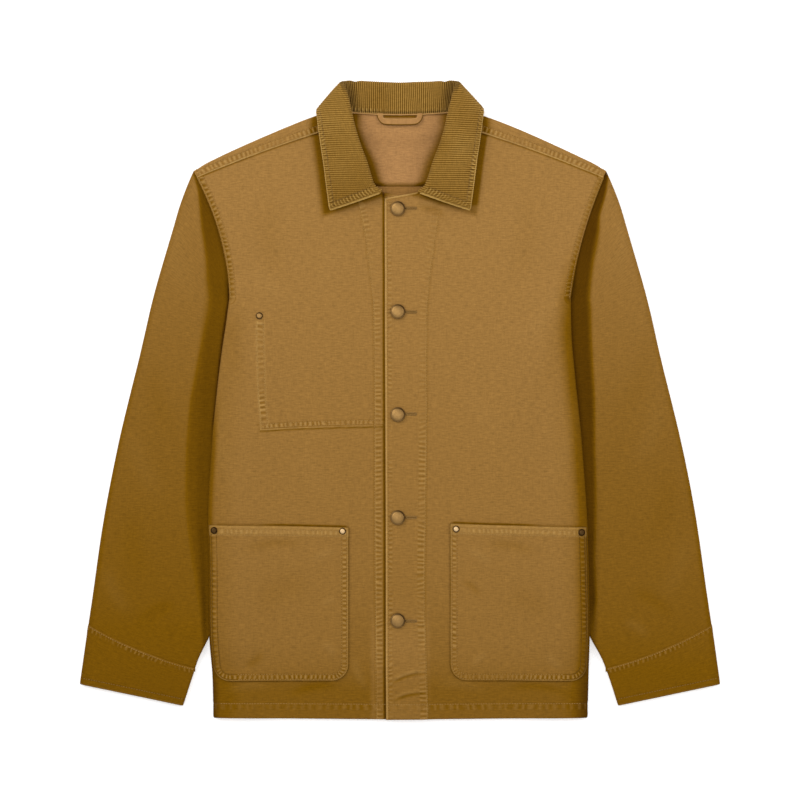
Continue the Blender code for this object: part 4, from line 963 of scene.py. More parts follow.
# %% [markdown]
# ## The fronts
# Each front is one panel of canvas. It starts at the button edge and the neckline, ends at the armhole, and
# below the underarm rolls over the side fold and back underneath to the side seam. The grid's rows run
# across, from the front edge to the side, and its columns crowd together near the button edge and the side,
# where stitched edges need points. The facing is a second layer inside the front edge, and its stitch row
# shows as a line down the chest. At the armhole and the shoulder the front ends under the seam's edge.

# %% Front: seam lines
POCKET_TOP_Y = -150
POCKET_INNER_X = {LEFT: 59.6, RIGHT: 61}
POCKET_TILT = {LEFT: ((61, 3.2), (102, 1.6), (220, -1)), RIGHT: ((61, -1.6), (140, 0.4), (222, 1.6))}


def pocket_mouth(x, side):
    """Level of a lower pocket's mouth, which is a little off level."""
    return POCKET_TOP_Y + np.interp(x, column(POCKET_TILT[side], 0), column(POCKET_TILT[side], 1))


FACING_LINE = {
    LEFT: ((33.3, -381), (29, -238), (31.5, -60), (32.1, 114), (34.5, 137), (40.5, 182), (47.5, 226)),
    RIGHT: ((28.2, -381), (30, -180), (30.3, 0), (31.5, 116), (40.5, 191), (48.5, 229)),
}
HEM_STITCH = 18.5  # height of the hem's stitch row above the hem
BUTTON_X, BUTTON_TOP_Y, BUTTON_PITCH = -2.6, 227.6, 122.5
HOLE_START, HOLE_END, HOLE_HALF = 7.2, 19.5, 1.15
HOLE_SHIFT = (0.6, -0.4, 0.8, 0.2, -0.6)  # each buttonhole's level above its button's
HOLE_LEVELS = [BUTTON_TOP_Y - index * BUTTON_PITCH + shift for index, shift in enumerate(HOLE_SHIFT)]
EDGE_STITCH = 3.2  # of the front edge's stitch row from the edge
CHEST_BAND = ((170.8, 93), (170.4, 60), (168.6, 0), (165.4, -34.6))
CHEST_LEDGE = ((165.4, -36.6), (120, -34), (60, -32.2), (21.6, -31.6))
FRONT_SEED = {LEFT: 100, RIGHT: 300}
FRONT_CREASES = {
    LEFT: (
        # x0, y0, x1, y1, width, depth
        (14, 232, 60, 214, 4.5, -1.1), (16, 226, 52, 236, 3.5, 0.6), (40, 205, 74, 168, 8, 0.5),
        (150, 262, 128, 120, 15, -0.9), (196, 150, 132, 60, 11, 0.8), (190, 120, 150, -20, 14, -0.8),
        (60, 20, 130, -70, 13, 0.6), (206, 20, 176, -110, 9, 0.7), (-14, -336.5, 36, -321.5, 2.3, 0.8),
        (-14, -340, 36, -325, 1.7, -0.9), (-12, -356.5, 38, -346.5, 2.3, 0.6),
        (-12, -360, 38, -350, 1.8, -0.8), (40, -338, 110, -350, 6, 0.6),
        (120, -344, 210, -352, 5, -0.5),
    ),
    RIGHT: (
        (150, 258, 142, 128, 15, -0.9), (186, 176, 120, 110, 10, 0.7), (200, 118, 176, 0, 12, -0.8),
        (60, 190, 100, 110, 13, 0.5), (120, -50, 70, -130, 13, 0.6), (212, 10, 190, -120, 9, 0.7),
        (56, -300, 34, -352, 5, 0.7), (66, -340, 140, -354, 6, -0.6), (150, -341, 214, -350, 5, 0.5),
    ),
}


def front_lines(side):
    """The front's edges as plan lines whose cloth lies to their left."""
    starts = np.array([row[:2] for row in FRONT_ROWS])
    shares = np.linspace(0, ARMHOLE_FRONT_END, 24)
    seam_x = np.linspace(armhole(ARMHOLE_FRONT_END)[0], FRONT_ROWS[-1][0], 14)
    return {
        "edge": along_line(starts[12::-1], 30),
        "neck": starts[13:11:-1],
        "hem": joined([float(body_edge(HEM_Y, side)), -16.5], [HEM_Y + HEM_STITCH, HEM_Y + HEM_STITCH - 1.6]),
        "armhole": np.column_stack(armhole(shares, side)),
        "shoulder": np.column_stack([seam_x, shoulder_seam(seam_x)]),
        "facing": along_line(FACING_LINE[side], 30),
    }


def front_relief(x, y, side):
    """Everything that sets a front apart from a smooth surface, at distances x from the centre line."""
    seed, lines, made = FRONT_SEED[side], front_lines(side), Relief(x, y)
    made.uneven(seed)
    made.seam(lines["edge"], (EDGE_STITCH,), 8, 0.45, seed + 10, 1, 0.65)
    made.seam(lines["neck"], (EDGE_STITCH,), 6, 0.3, seed + 20, 1, 0.2)
    made.seam(lines["hem"], (1,), 8, 0.36, seed + 30, 1, 0.32, 9.5)
    at_armhole = ease((y - 92) / 50)
    made.seam(lines["armhole"], (1.6, 7.4), 6.6, 0.48, seed + 40, at_armhole, 0.9)
    off = made.off(lines["armhole"], 14)
    # Painted shade in the armhole's band, and a painted shadow line under the shoulder seam's edge.
    made.deep += 0.42 * at_armhole * ease((9.5 - off) / 8) * (off < 13)
    made.darken(0.6, made.off(lines["shoulder"], 6) - 0.4, 1.1)
    low = 0.35 + 0.65 * ease((60 - y) / 160) if side == LEFT else 0.65 + 0.35 * ease((100 - y) / 60)
    made.seam(lines["facing"], (0.4,), 9 if side == LEFT else 8, 0.4, seed + 50, low, 0.8)
    off = made.off(lines["facing"], 12)
    made.height += 0.35 * ease((off + 0.5) / 1.5) * ease((12 - off) / 8)
    # A painted shade line along the facing's stitch row.
    made.darken(0.16, off + 1)
    opening = np.interp(y, column(FRONT_ROWS[:12], 1), column(FRONT_ROWS[:12], 0))
    if side == RIGHT:
        add_chest_seams(made, x, y, seed)
        # Painted shadow in the gap under the overlapping front's edge.
        made.darken(0.9, x + opening - 1.3, 1.5)
    else:
        # Painted highlight along the overlapping front's edge and along its top edge at the neck.
        made.rub_and_highlight(0.75, x - opening - 1.1, 0.9)
        made.rub_and_highlight(0.75 * (x < 21), made.off(lines["neck"], 6) - 0.9, 0.9)
        for hole_y in HOLE_LEVELS:
            along = ease((x - HOLE_START + 1) / 1.5) * ease((HOLE_END + 1 - x) / 1.5)
            # Painted shade in each buttonhole's slit.
            made.darken(0.55 * along, y - hole_y, 0.7)
            made.height -= 0.35 * along * bell(y - hole_y, 1.6)
    gape = ease((x - POCKET_INNER_X[side]) / 6) * (0.25 + 0.75 * ease((172 - x) / 30)) * (x < 218)
    # Painted shadow under the pocket's mouth.
    made.darken(0.85 * gape, y - pocket_mouth(x, side) - 0.6, 1.2)
    made.creases(FRONT_CREASES[side])
    # Painted shade over the whole front, and less painted highlight where it is shaded.
    depth = body_shade(x, y, side)
    made.wear *= 1 - 0.35 * depth
    made.deep = np.clip(depth + 0.75 * made.deep, 0, 1)
    return made


def add_chest_seams(made, x, y, seed):
    """The chest pocket behind the right front: an upright band, and a ledge along its lower edge."""
    upright = ease((97 - y) / 5) * ease((y + 37) / 3)
    made.seam(CHEST_BAND[::-1], (0.8, 8.6), 7.6, 0.42, seed + 60, upright, 1.4, 6.5)
    # A painted highlight along each of the band's stitch rows.
    for row in (0, 9):
        made.rub_and_highlight(0.32 * upright, made.off(CHEST_BAND[::-1], 16) - row, 0.8)
    bottom = ease((171 - x) / 4) * ease((x - 14) / 6)
    made.seam(CHEST_LEDGE[::-1], (2.4, 8), 7.8, 0.42, seed + 70, bottom)
    ledge = made.off(CHEST_LEDGE[::-1], 16)
    made.height -= 0.75 * bottom * ease((0.9 - ledge) / 1.8) * ease((16 + ledge) / 15)
    # Painted shadow under the ledge.
    made.darken(0.55 * bottom, ledge + 0.6, 0.9)


def front_surface(x, y, side):
    """Points and normals on a finished front at distances x from the centre line."""
    step = 0.4

    def height(px, py):
        return front_top(px, py, side) + front_relief(px, py, side).height

    slope_x = (height(x + step, y) - height(x - step, y)) / (2 * step)
    slope_y = (height(x, y + step) - height(x, y - step)) / (2 * step)
    return joined(x, y, height(x, y)), unit(joined(-slope_x, -slope_y, 1))


# %% Front: the panel's grid
FRONT_STEP = 1.45  # distance between rows
FRONT_COLUMNS = {LEFT: 139, RIGHT: 148}
COARSE = (3, 3)  # every third row and column is kept on the inner face
UNDER_COLUMNS = 15
ROUND_LENGTH = 8.2  # length of the bend at the side fold


def front_rows(side):
    """The ends of the grid's rows: start and end points, and the share of the under part that each keeps."""
    table = []
    for start_x, start_y, side_y, share in FRONT_ROWS:
        if share is None:
            table.append((start_x, start_y, float(body_edge(side_y, side)), side_y, 0))
        else:
            table.append((start_x, start_y, *map(float, armhole(share, side)), share))
    table = np.array(table)
    gaps = np.maximum(np.hypot(*np.diff(table[:, :2], axis=0).T), np.hypot(*np.diff(table[:, 2:4], axis=0).T))
    marks = np.concatenate([[0], np.cumsum(gaps)])
    at = np.linspace(0, marks[-1], multiple(marks[-1] / FRONT_STEP, COARSE[0]))
    start_x, start_y, _, end_y, share = sample(table, at, marks).T
    end_x = np.where(end_y > UNDERARM[1], armhole(share, side)[0], body_edge(end_y, side))
    turned = ease((UNDERARM[1] - end_y) / (UNDERARM[1] - TURN_TOP_Y))
    return joined(start_x, start_y), joined(end_x, end_y), share, turned


def front_columns(side):
    """Places of the columns from 0 to 1 across the top: 1.35 mm apart near both edges, 3 mm in the middle."""
    x = np.linspace(0, 1, 2001)
    fine = 1 - ease((x - 0.21) / 0.06) + 0.8 * ease((x - 0.8) / 0.08)
    if side == RIGHT:
        fine += 0.8 * np.exp(-(((x - 0.775) / 0.05) ** 4))
    density = np.cumsum(1 / 3 + (1 / 1.35 - 1 / 3) * np.clip(fine, 0, 1))
    density = (density - density[0]) / (density[-1] - density[0])
    return np.interp(np.linspace(0, 1, FRONT_COLUMNS[side]), density, x)


def front_grid(side):
    """The front's smooth outer face: across the top to the fold, then round it and under to the seam."""
    start, end, share, turned = front_rows(side)
    across = front_columns(side)
    x, y = [start[:, axis:axis + 1] + (end - start)[:, axis:axis + 1] * across for axis in (0, 1)]
    y = y + SHOULDER_BOW * ease((share - 0.5) / (ARMHOLE_FRONT_END - 0.5))[:, None] * arch(across)
    top = joined(x, y, front_top(x, y, side))
    last_x, last_y, last_z = [top[:, -1:, axis] for axis in range(3)]
    reach = (2 + turned * 44)[:, None] * np.linspace(0, 1, UNDER_COLUMNS + 1)[1:]
    angle = np.clip(reach / ROUND_LENGTH, 0, 1) * math.pi / 2
    off = ROLL_UNDER_WIDTH * (1 - np.cos(angle)) + np.clip(reach - ROUND_LENGTH, 0, None)
    down = side_top(last_y) / 2 * np.sin(angle) + lift(0, last_y) - lift(off, last_y)
    under = joined(last_x - off, last_y, last_z - down)
    return np.concatenate([top, above_floor(under)], axis=1), x.shape[1]


# %% Front: tucks at its seams, and the piece
LAP = 4.5  # how far one panel runs in under its neighbour's folded edge
THIRDS = np.array([1, 2, 3]) / 3


def make_front(side):
    base, top_columns = front_grid(side)
    facing = normals_of(base, (10, 10))
    detail = front_relief(base[..., 0], base[..., 1], side)
    over = np.ones(base.shape[:2])
    over[:, top_columns:] = np.linspace(1, 0, UNDER_COLUMNS) ** 2
    height = detail.height * over
    height[:, :3] -= (0.75, 0.28, 0.06)
    height[:2] -= [[0.7], [0.2]]
    outer = above_floor(base + facing * height[..., None])
    under_yoke = outer[-1:] + joined(0, LAP * THIRDS, (-0.45, -0.75, -0.85))[:, None]
    outer, smooth = [np.concatenate([grid, under_yoke]) for grid in (outer, base)]
    facing = np.concatenate([facing, facing[-1:].repeat(3, axis=0)])
    length = np.cumsum(np.linalg.norm(np.diff(smooth, axis=1, prepend=smooth[:, :1]), axis=2), axis=1)
    uv = joined(length + smooth[:, :1, 0], smooth[..., 1])
    # The turned-under part gets a flat painted shade.
    masks = detail.masks(over >= 1, deep=np.where(over < 1, 0.4, detail.deep))
    for mask, values in masks.items():
        masks[mask] = np.pad(values, ((0, 3), (0, 0), (0, 0))[:values.ndim], mode="edge")
    masks["wear"] = np.pad(detail.wear * over, ((0, 3), (0, 0)))
    name = f"front_{SIDE_NAMES[side]}_cloth"
    return cloth_wall(name, outer, smooth - facing * CLOTH, COARSE, canvas, uv, masks, side, smooth)


fronts = {side: make_front(side) for side in (LEFT, RIGHT)}

# %% [markdown]
# ## Sleeves
# A sleeve is a tube pressed flat. Around it run the top layer, the outer fold, the underneath and the inner
# edge, which lies tucked under the body. Beside the body the top layer dips into a valley and comes up again
# over a long crease, the jacket's strongest fold. The grid's columns run round the tube, its rows along it,
# and they fan out at the top, where the sleeve's head follows the armhole.

# %% Sleeve: tables and heights
SLEEVE_OUTER = (
    # y, x
    (272.8, 246.2), (257, 253), (233.8, 261.8), (202.3, 271), (119, 295.1), (59.5, 308.8),
    (-59.5, 337.4), (-119, 349.3), (-238, 367.1), (-267.5, 371.6), (-338.6, 381.7),
)
SLEEVE_TUCK = (
    # y, how far the sleeve's inner edge lies inside the body's side fold
    (121.4, UNDERARM_TUCK),
    (100, 15), (60, 23.5), (-120, 26), (-200, 22), (-250, 12), (-280.5, 0), (-312, -17), (-331, -24.5),
    (-364.2, -36),
)
SLEEVE_STATIONS = (
    # outer_y, inner_y, bow
    (272.8, 121.4, 10), (262, 121, 9.5), (245, 119.6, 7.5), (220, 115.5, 5), (200, 111, 2.6),
    (175, 105, 0.9), (145, 96, 0), (110, 82, 0), (70, 58, 0), (10, 8, 0), (-65, -65, 0),
    (-135, -137, 0), (-185, -195, 0), (-225, -250, -1.5), (-250, -290, -3.5), (-267.3, -319.3, -5),
)
CUFF_STATIONS = (
    # outer_y, inner_y, bow
    (-267.3, -319.3, -5), (-290, -335, -3), (-315, -350, -1), (-338.6, -364.2, 0),
)
SLEEVE_TOP = 6.6
RIDGE_TOP = 8.8
VALLEY_TOP = 3.4
SLEEVE_EDGE_WIDTH = 9
VALLEY = {
    LEFT: (
        # y, width of the painted shade beside the body, softness of its edge, its darkness
        (272, 3, 4, 0.92), (250, 9, 5, 0.92), (238, 10.5, 5.5, 0.92), (220, 11.5, 6.5, 0.92),
        (202, 16, 9, 0.93), (184.5, 18, 12, 0.92), (166.6, 18.7, 10, 0.9), (142.8, 20.5, 9.5, 0.87),
        (107, 23, 10, 0.86), (59.5, 22.5, 8, 0.86), (0, 19.6, 6.5, 0.87), (-59.5, 13.7, 5.5, 0.86),
        (-119, 10.5, 5.5, 0.85), (-190, 6.5, 5, 0.88), (-238, 7.7, 6, 0.88), (-285, 2, 4, 0.65),
        (-320, -4, 4, 0.6),
    ),
    RIGHT: (
        (272, 1, 4, 0.66), (261.8, 3.6, 4, 0.66), (249.9, 6, 5, 0.74), (238, 10, 6, 0.77),
        (220, 15.5, 6.5, 0.75), (202, 19.6, 8, 0.73), (184.5, 21.5, 8.5, 0.71), (166.6, 23.2, 9, 0.68),
        (142.8, 25.6, 11, 0.65), (107, 24, 17, 0.62), (59.5, 25.6, 10, 0.66), (0, 29.8, 9, 0.68),
        (-59.5, 29, 9, 0.67), (-119, 25.6, 9, 0.66), (-190, 17.9, 8, 0.66), (-238, 10.7, 7, 0.66),
        (-285, 2, 5, 0.6), (-320, -5, 5, 0.6),
    ),
}
# A painted contact shadow along the line where the body lies on the sleeve.
CONTACT_SHADOW = {LEFT: 0.1, RIGHT: 0.75}  # of the line where the body lies on the sleeve
SLEEVE_CREASES = {
    LEFT: (
        # x0, y0, x1, y1, width, depth
        (262, 236, 250, 130, 12, 0.8), (300, 90, 250, -40, 14, -0.9), (312, 10, 268, -90, 11, 0.7),
        (322, -70, 286, -190, 15, -0.8), (346, -150, 300, -250, 12, 0.6),
        (270, -225, 330, -262, 8, -0.6), (262, -262, 300, -285, 6, 0.5),
    ),
    RIGHT: (
        (266, 226, 246, 110, 13, 0.8), (296, 60, 262, -60, 13, -0.8), (322, -20, 276, -130, 12, 0.7),
        (318, -120, 300, -230, 16, -0.8), (352, -190, 316, -262, 9, 0.6),
        (264, -240, 316, -276, 7, -0.6),
    ),
}


def ridge_gap(y):
    """Distance from the body's side to the sleeve's crease: 28 mm at the underarm, 10 mm near the cuff."""
    return 10 + 18 * np.clip((y + 280) / (UNDERARM[1] + 280), 0, 1)


def sleeve_top(x, y, side):
    """Height of a sleeve's outer face: a valley along the body's side, a crease, then a level top."""
    inside, gap = x - body_edge(y, side), ridge_gap(y)
    creased = ease((240 - y) / 60) * ease((y + 330) / 60)
    low = SLEEVE_TOP - 0.6 + (VALLEY_TOP - SLEEVE_TOP + 0.6) * ease((168 - y) / 45) * ease((y + 330) / 40)
    crest = SLEEVE_TOP + (RIDGE_TOP - SLEEVE_TOP) * creased * ease(1 - (inside - gap) / 42)
    return low + (crest - low) * ease((inside - 0.3 * gap) / (0.7 * gap))


def sleeve_shade(x, y, side):
    """Painted shade on a sleeve: high in the valley and down towards the cuff, a little at the outer fold,
    and a painted contact shadow along the body's edge.
    """
    inside = x - body_edge(y, side)
    down = shade_down(y, 2 if side == LEFT else 3)
    at, *valley = [column(VALLEY[side], index)[::-1] for index in range(4)]
    width, soft, depth = [np.interp(y, at, values) for values in valley]
    in_valley = ease((width + soft / 2 - inside) / soft)
    contact = CONTACT_SHADOW[side] * bell(inside - 0.8, 1.5) * ease((150 - y) / 30) * ease((y + 60) / 60)
    at_fold = 0.12 * ease((8 - read(SLEEVE_OUTER, y) + x) / 8)
    return np.clip(down + (depth - down) * in_valley + contact + at_fold, 0, 1)


print("the sleeve's crease stands", RIDGE_TOP - VALLEY_TOP, "mm over its valley")

# %% Sleeve: the tube's grid
TOP_COLUMNS, TUBE_UNDER_COLUMNS = 87, 42


def crowded(even, amount):
    """Even places from 0 to 1, drawn towards both ends: s - amount x sin(2 pi s) / (2 pi)."""
    return even - amount * np.sin(2 * math.pi * even) / (2 * math.pi)


def tube_grid(stations, step, side):
    """Plan and height of a tube's outer face. Each row runs from the inner edge over the top to the outer
    fold and back underneath. Plan = the straight line between both edges, less a bow of 4 s (1 - s)."""
    table = np.array(stations)
    marks = np.concatenate([[0], np.cumsum(np.abs(np.diff(table[:, :2], axis=0)).max(axis=1))])
    at = np.linspace(0, marks[-1], multiple(marks[-1] / step, COARSE[0]))
    outer_y, inner_y, bow = [curve(at, marks, values)[:, None] for values in table.T]
    bow = np.where(bow > 0, bow * ARMHOLE_BOW[side] / ARMHOLE_BOW[RIGHT], bow)
    outer_x = read(SLEEVE_OUTER, outer_y)
    head = np.clip(1 - (SHOULDER_TIP[1] - outer_y) / 60, 0, 1)
    start_x = body_edge(inner_y, side) - read(SLEEVE_TUCK, inner_y) * (1 - head)
    top_share = crowded(np.linspace(0, 1, TOP_COLUMNS), 0.6)
    under_share = crowded(np.linspace(1, 0, TUBE_UNDER_COLUMNS + 2)[1:-1], 0.75)
    width = np.hypot(outer_x - start_x, outer_y - inner_y)
    lean_x = (outer_y - inner_y) / width * (1 - head) + head
    lean_y = (start_x - outer_x) / width * (1 - head)

    def place(share, inward):
        bend = bow * arch(share)
        x = start_x + (outer_x - start_x) * share - bend * lean_x - inward * head
        return x, inner_y + (outer_y - inner_y) * share - bend * lean_y

    top_x, top_y = place(top_share, UNDERARM_TUCK * ease(1 - top_share / UNDERARM_TUCK_SHARE))
    under_x, under_y = place(under_share, back_shift(under_share))
    across, below = top_share * width, under_share * width
    height = sleeve_top(top_x, top_y, side)
    from_outer = np.clip(1 - (width - across) / SLEEVE_EDGE_WIDTH, 0, 1)
    from_inner = np.clip(1 - across / 2.6, 0, 1)
    top_z = height * (1 - 0.5 * drop(from_outer) - 0.5 * drop(from_inner))
    under_z = 0.5 * height[:, -1:] * drop(1 - (width - below) / 3.5)
    under_z = under_z + 0.5 * height[:, :1] * drop(1 - below / 2.2)
    tops, unders = joined(top_x, top_y, top_z, across), joined(under_x, under_y, under_z, below)
    whole = np.concatenate([tops, unders], axis=1)
    weight = np.concatenate([1 - 0.7 * from_outer - 0.9 * from_inner, np.zeros_like(under_x)], axis=1)
    return whole[..., :3], joined(whole[..., 3], -at[:, None]), weight


def with_lap(grid, rows, at_start):
    """A grid with a few more rows that carry on under a neighbour: each (dx, dy, dz) from the end row."""
    end = grid[:1] if at_start else grid[-1:]
    extra = [end + row for row in rows]
    return np.concatenate(extra[::-1] + [grid]) if at_start else np.concatenate([grid] + extra)


def squeezed(grid, amount):
    """Rows pressed towards their own middle height, to go inside a neighbouring tube."""
    pressed = grid.copy()
    highest = np.maximum(grid[..., 2].max(axis=1, keepdims=True) - amount, amount)
    pressed[..., 2] = np.clip(grid[..., 2], amount, highest)
    return pressed


# %% Sleeve: the piece
SLEEVE_STEP, CUFF_STEP = 2.1, 1.4


def tube_wall(name, outer, smooth, uv, masks, side):
    facing = normals_of(smooth, wrap=True)
    facing *= np.sign((facing * (smooth - smooth.mean(axis=1, keepdims=True))).sum())
    held = smooth - facing * CLOTH
    held[..., 2] = np.maximum(held[..., 2], 1.4)
    return cloth_wall(name, outer, held, COARSE, canvas, uv, masks, side, smooth, wrap=True)


def make_sleeve(side):
    base, uv, weight = tube_grid(SLEEVE_STATIONS, SLEEVE_STEP, side)
    facing = normals_of(base, (60, 40), wrap=True)
    x, y, seed = base[..., 0], base[..., 1], FRONT_SEED[side] + 1000
    detail = Relief(x, y)
    detail.uneven(seed, 1.2)
    seam = joined(*armhole(np.linspace(1, 0, 24), side))
    detail.seam(seam, (), 1.5, 0.3, seed + 10, 1, 0)
    detail.seam(base[-1, :TOP_COLUMNS:4, :2][::-1], (), 1, 0.25, seed + 20, 1, 0)
    detail.creases(SLEEVE_CREASES[side])
    outer = base + facing * (detail.height * weight)[..., None]
    outer[..., 2] -= 0.9 * ease((6 - detail.off(seam, 9)) / 6) * (weight > 0)
    start_rows, end_rows = joined(-LAP * THIRDS, 0, -0.3 * THIRDS), joined(0, -LAP * THIRDS, 0)
    outer, smooth = [
        with_lap(with_lap(grid, start_rows, True), end_rows, False) for grid in (above_floor(outer), base)
    ]
    uv = np.concatenate([uv[:1].repeat(3, 0), uv, uv[-1:].repeat(3, 0)])
    uv[:3, :, 1] += LAP * THIRDS[::-1, None]
    uv[-3:, :, 1] -= LAP * THIRDS[:, None]
    for grid in (outer, smooth):
        grid[-3:] = squeezed(grid[-3:], 1)
        grid[:3] = squeezed(grid[:3], 0.6)
    # Painted shade: valley, contact shadow and darkening towards the cuff, plus the creases' painted shade; a
    # flat painted shade underneath.
    deep = np.where(weight > 0, sleeve_shade(x, y, side), 0.35) + 0.5 * detail.deep
    laps = ((3, 3), (0, 0))
    masks = {"wear": np.pad(detail.wear * (weight > 0.3), laps), "deep": np.pad(deep, laps, mode="edge")}
    return tube_wall(f"sleeve_{SIDE_NAMES[side]}_cloth", outer, smooth, uv, masks, side)


sleeves = {side: make_sleeve(side) for side in (LEFT, RIGHT)}

# %% [markdown]
# ## Cuffs
# The cuff is a band of canvas whose top edge is folded and stitched over the sleeve, along a line that curves
# towards the hem. It is thicker than the sleeve, because it is double, and its hem is stitched too.

# %% Cuffs
CUFF_RISE = 0.95


def make_cuff(side):
    base, uv, weight = tube_grid(CUFF_STATIONS, CUFF_STEP, side)
    facing = normals_of(base, (20, 40), wrap=True)
    x, y, seed = base[..., 0], base[..., 1], FRONT_SEED[side] + 2000
    detail = Relief(x, y)
    detail.uneven(seed)
    seam_line, hem_line = base[0, :TOP_COLUMNS:4, :2], base[-1, :TOP_COLUMNS:4, :2][::-1]
    for line, rows, band, number in ((seam_line, (2,), 6.5, 20), (hem_line, (8,), 7, 30)):
        inward = line if detail.off(line, 40)[len(x) // 2, 40] > 0 else line[::-1]
        detail.seam(inward, rows, band, 0.5, seed + number, 1, 0.55)
    rise = CUFF_RISE * (0.45 + 0.55 * ease(1 - np.arange(len(base)) * CUFF_STEP / 14))
    rise[:3] -= (0.8, 0.25, 0.05)
    rise[-3:] -= (0.05, 0.25, 0.8)
    height = detail.height * weight + rise[:, None] * np.clip(weight * 1.6, 0, 1)
    outer = above_floor(base + facing * height[..., None])
    # Painted shade as on the sleeve, plus the seams' and creases' painted shade; a flat painted shade
    # underneath.
    deep = np.where(weight > 0, sleeve_shade(x, y, side) + 0.8 * detail.deep, 0.5)
    masks = detail.masks(weight >= 0.3, wear=detail.wear * (weight > 0.3), deep=deep)
    return tube_wall(f"cuff_{SIDE_NAMES[side]}_cloth", outer, base, uv, masks, side)


cuffs = {side: make_cuff(side) for side in (LEFT, RIGHT)}

# %% [markdown]
# ## The yoke
# One piece of canvas lies over both shoulders. It starts on the front at the forward shoulder seam, wraps
# over the shoulder's fold and comes down the back to a seam. Its upper edge in the middle is the back neck.
# Each of the grid's rows is a line from front to back, so the fold is one soft arc in all of them.

# %% Yoke
YOKE_LINES, YOKE_POINTS = 181, 64
YOKE_STEPS = (1, 3)


def leaf_lift(x, y):
    """How far the collar's leaf, lying underneath, raises the back neck."""
    start = 299 + 21 * (np.abs(x) / 90) ** 2
    return 4.1 * ease((y - start) / 18) * ease((122 - np.abs(x)) / 16)


def yoke_line(x):
    """One line of the yoke from the forward seam over the fold to the yoke seam, at even lengths: x, y, z
    and the length along it."""
    at_armhole = float(ease((x - 203) / 31))
    gap = 0.3
    top_x = x + at_armhole * (armhole(ARMHOLE_FRONT_END)[0] - gap - x)
    fold_x = x + at_armhole * (SHOULDER_TIP[0] - gap - x)
    seam_y, fold_y, half = float(shoulder_seam(top_x)), float(read(SHOULDER_FOLD, fold_x)), YOKE_TOP / 2
    reach = min(FOLD_REACH, (fold_y - seam_y) * 0.8)
    turn = np.linspace(math.pi / 2, -math.pi / 2, 25)
    top_y = np.linspace(seam_y, fold_y - reach, 16)[:-1]
    low_y = np.linspace(fold_y - reach, YOKE_SEAM_Y, 60)[1:]
    y = np.concatenate([top_y, fold_y - reach + reach * np.cos(turn), low_y])
    z = np.concatenate([0 * top_y + YOKE_TOP, half + half * np.sin(turn), 0 * low_y])
    under = np.concatenate([0 * top_y, (1 - np.sin(turn)) / 2, 0 * low_y + 1])
    share = up_armhole(y)
    px = x + at_armhole * (armhole(share)[0] - gap - under * back_shift(share) - x)
    points = joined(px, y, z + leaf_lift(px, y) * np.clip(1 - z / half, 0, 1))
    length, fold, start = lengths(points), int(np.argmax(y)), 0
    if x < NECK_FOLD_X:
        neck_y = BACK_NECK_Y + BACK_NECK_RISE * (x / NECK_FOLD_X) ** 2
        start = float(np.interp(-neck_y, -y[fold:], length[fold:]))
    elif x < NECK_POINT_X:
        start = length[fold] * (NECK_POINT_X - x) / (NECK_POINT_X - NECK_FOLD_X)
    near = np.linspace(0, 1, YOKE_POINTS)
    at = start + (length[-1] - start) * (near - 0.45 * np.sin(math.pi * near) / math.pi)
    return np.column_stack([sample(points, at, length), at])


def make_yoke():
    half = np.array([yoke_line(x) for x in np.linspace(0, 234, YOKE_LINES // 2 + 1)])
    whole = np.concatenate([mirrored(half[:0:-1], RIGHT), half])
    base, at = whole[..., :3], whole[..., 3]
    facing = normals_of(base, (20, 3))
    x, y, z = np.abs(base[..., 0]), base[..., 1], base[..., 2]
    on_top = ease((z - 2) / 2.5) * (x > NECK_FOLD_X)
    seam_x = np.linspace(FRONT_ROWS[-1][0], armhole(ARMHOLE_FRONT_END)[0], 16)
    seam = joined(seam_x, shoulder_seam(seam_x))
    detail = Relief(x + 400 * (base[..., 0] < 0), y)
    detail.uneven(500, 0.8)
    detail.x = x
    detail.seam(seam, (1.7, 8.2), 7.8, 0.6, 510)
    # A painted highlight along the folded edge of the shoulder seam.
    detail.wear += 0.55 * bell(detail.off(seam, 6) - 0.9, 0.8)
    detail.seam(joined(*armhole(np.linspace(ARMHOLE_FRONT_END - 0.01, 1, 6))), (1.6, 7.4), 7, 0.5, 520)
    edge = np.zeros((len(base), 1))
    edge[[0, -1]], edge[[1, -2]] = 0.9, 0.2
    height = (detail.height - edge) * on_top
    height[:, :3] -= np.array([0.9, 0.3, 0.05]) * (x[:, :3] >= NECK_POINT_X)
    outer = above_floor(base + facing * height[..., None])
    thick = CLOTH + 0.9 * ease((272 - y) / 6) * (1 - on_top)
    # Painted shade on the yoke beside the collar, and the seams' painted shade.
    shade = 0.02 + 0.62 * ease((112 - x) / 12) * on_top * (x > NECK_FOLD_X)
    shade = np.clip(shade + 0.9 * detail.deep * on_top, 0, 1)
    masks = detail.masks(on_top >= 0.5, wear=detail.wear * on_top, deep=shade)
    # Painted shadows on the wrong side inside the neck: beside the collar's fold, a line at the yoke seam,
    # and under the hanger loop.
    fold_x = np.interp(y, column(COLLAR_STATIONS[:6], 4), column(COLLAR_STATIONS[:6], 3))
    soft = (17 - 4 * ease((y - 280) / 50) - np.abs(fold_x - x)) / 14
    inner_deep = (0.62 - 0.14 * (base[..., 0] > 0)) * ease(soft) + 0.45 * ease((256.6 - y) / 1.2)
    inner_deep = inner_deep + 0.5 * ease((20 - x) / 2) * ease((y - 334.5) / 2)
    inner, uv = base - facing * thick[..., None], joined(base[..., 0], -at)
    sheet = {"sheet": base, "inner_deep": inner_deep}
    return cloth_wall("yoke_cloth", outer, inner, YOKE_STEPS, canvas, uv, masks, **sheet)


yoke_cloth = make_yoke()

# %% [markdown]
# ## The back
# The back is one panel, flat on the floor, from the hem to the yoke seam. Only its wrong side shows, inside
# the neck, and its face when the jacket is turned over. At the yoke seam it runs in between both layers.

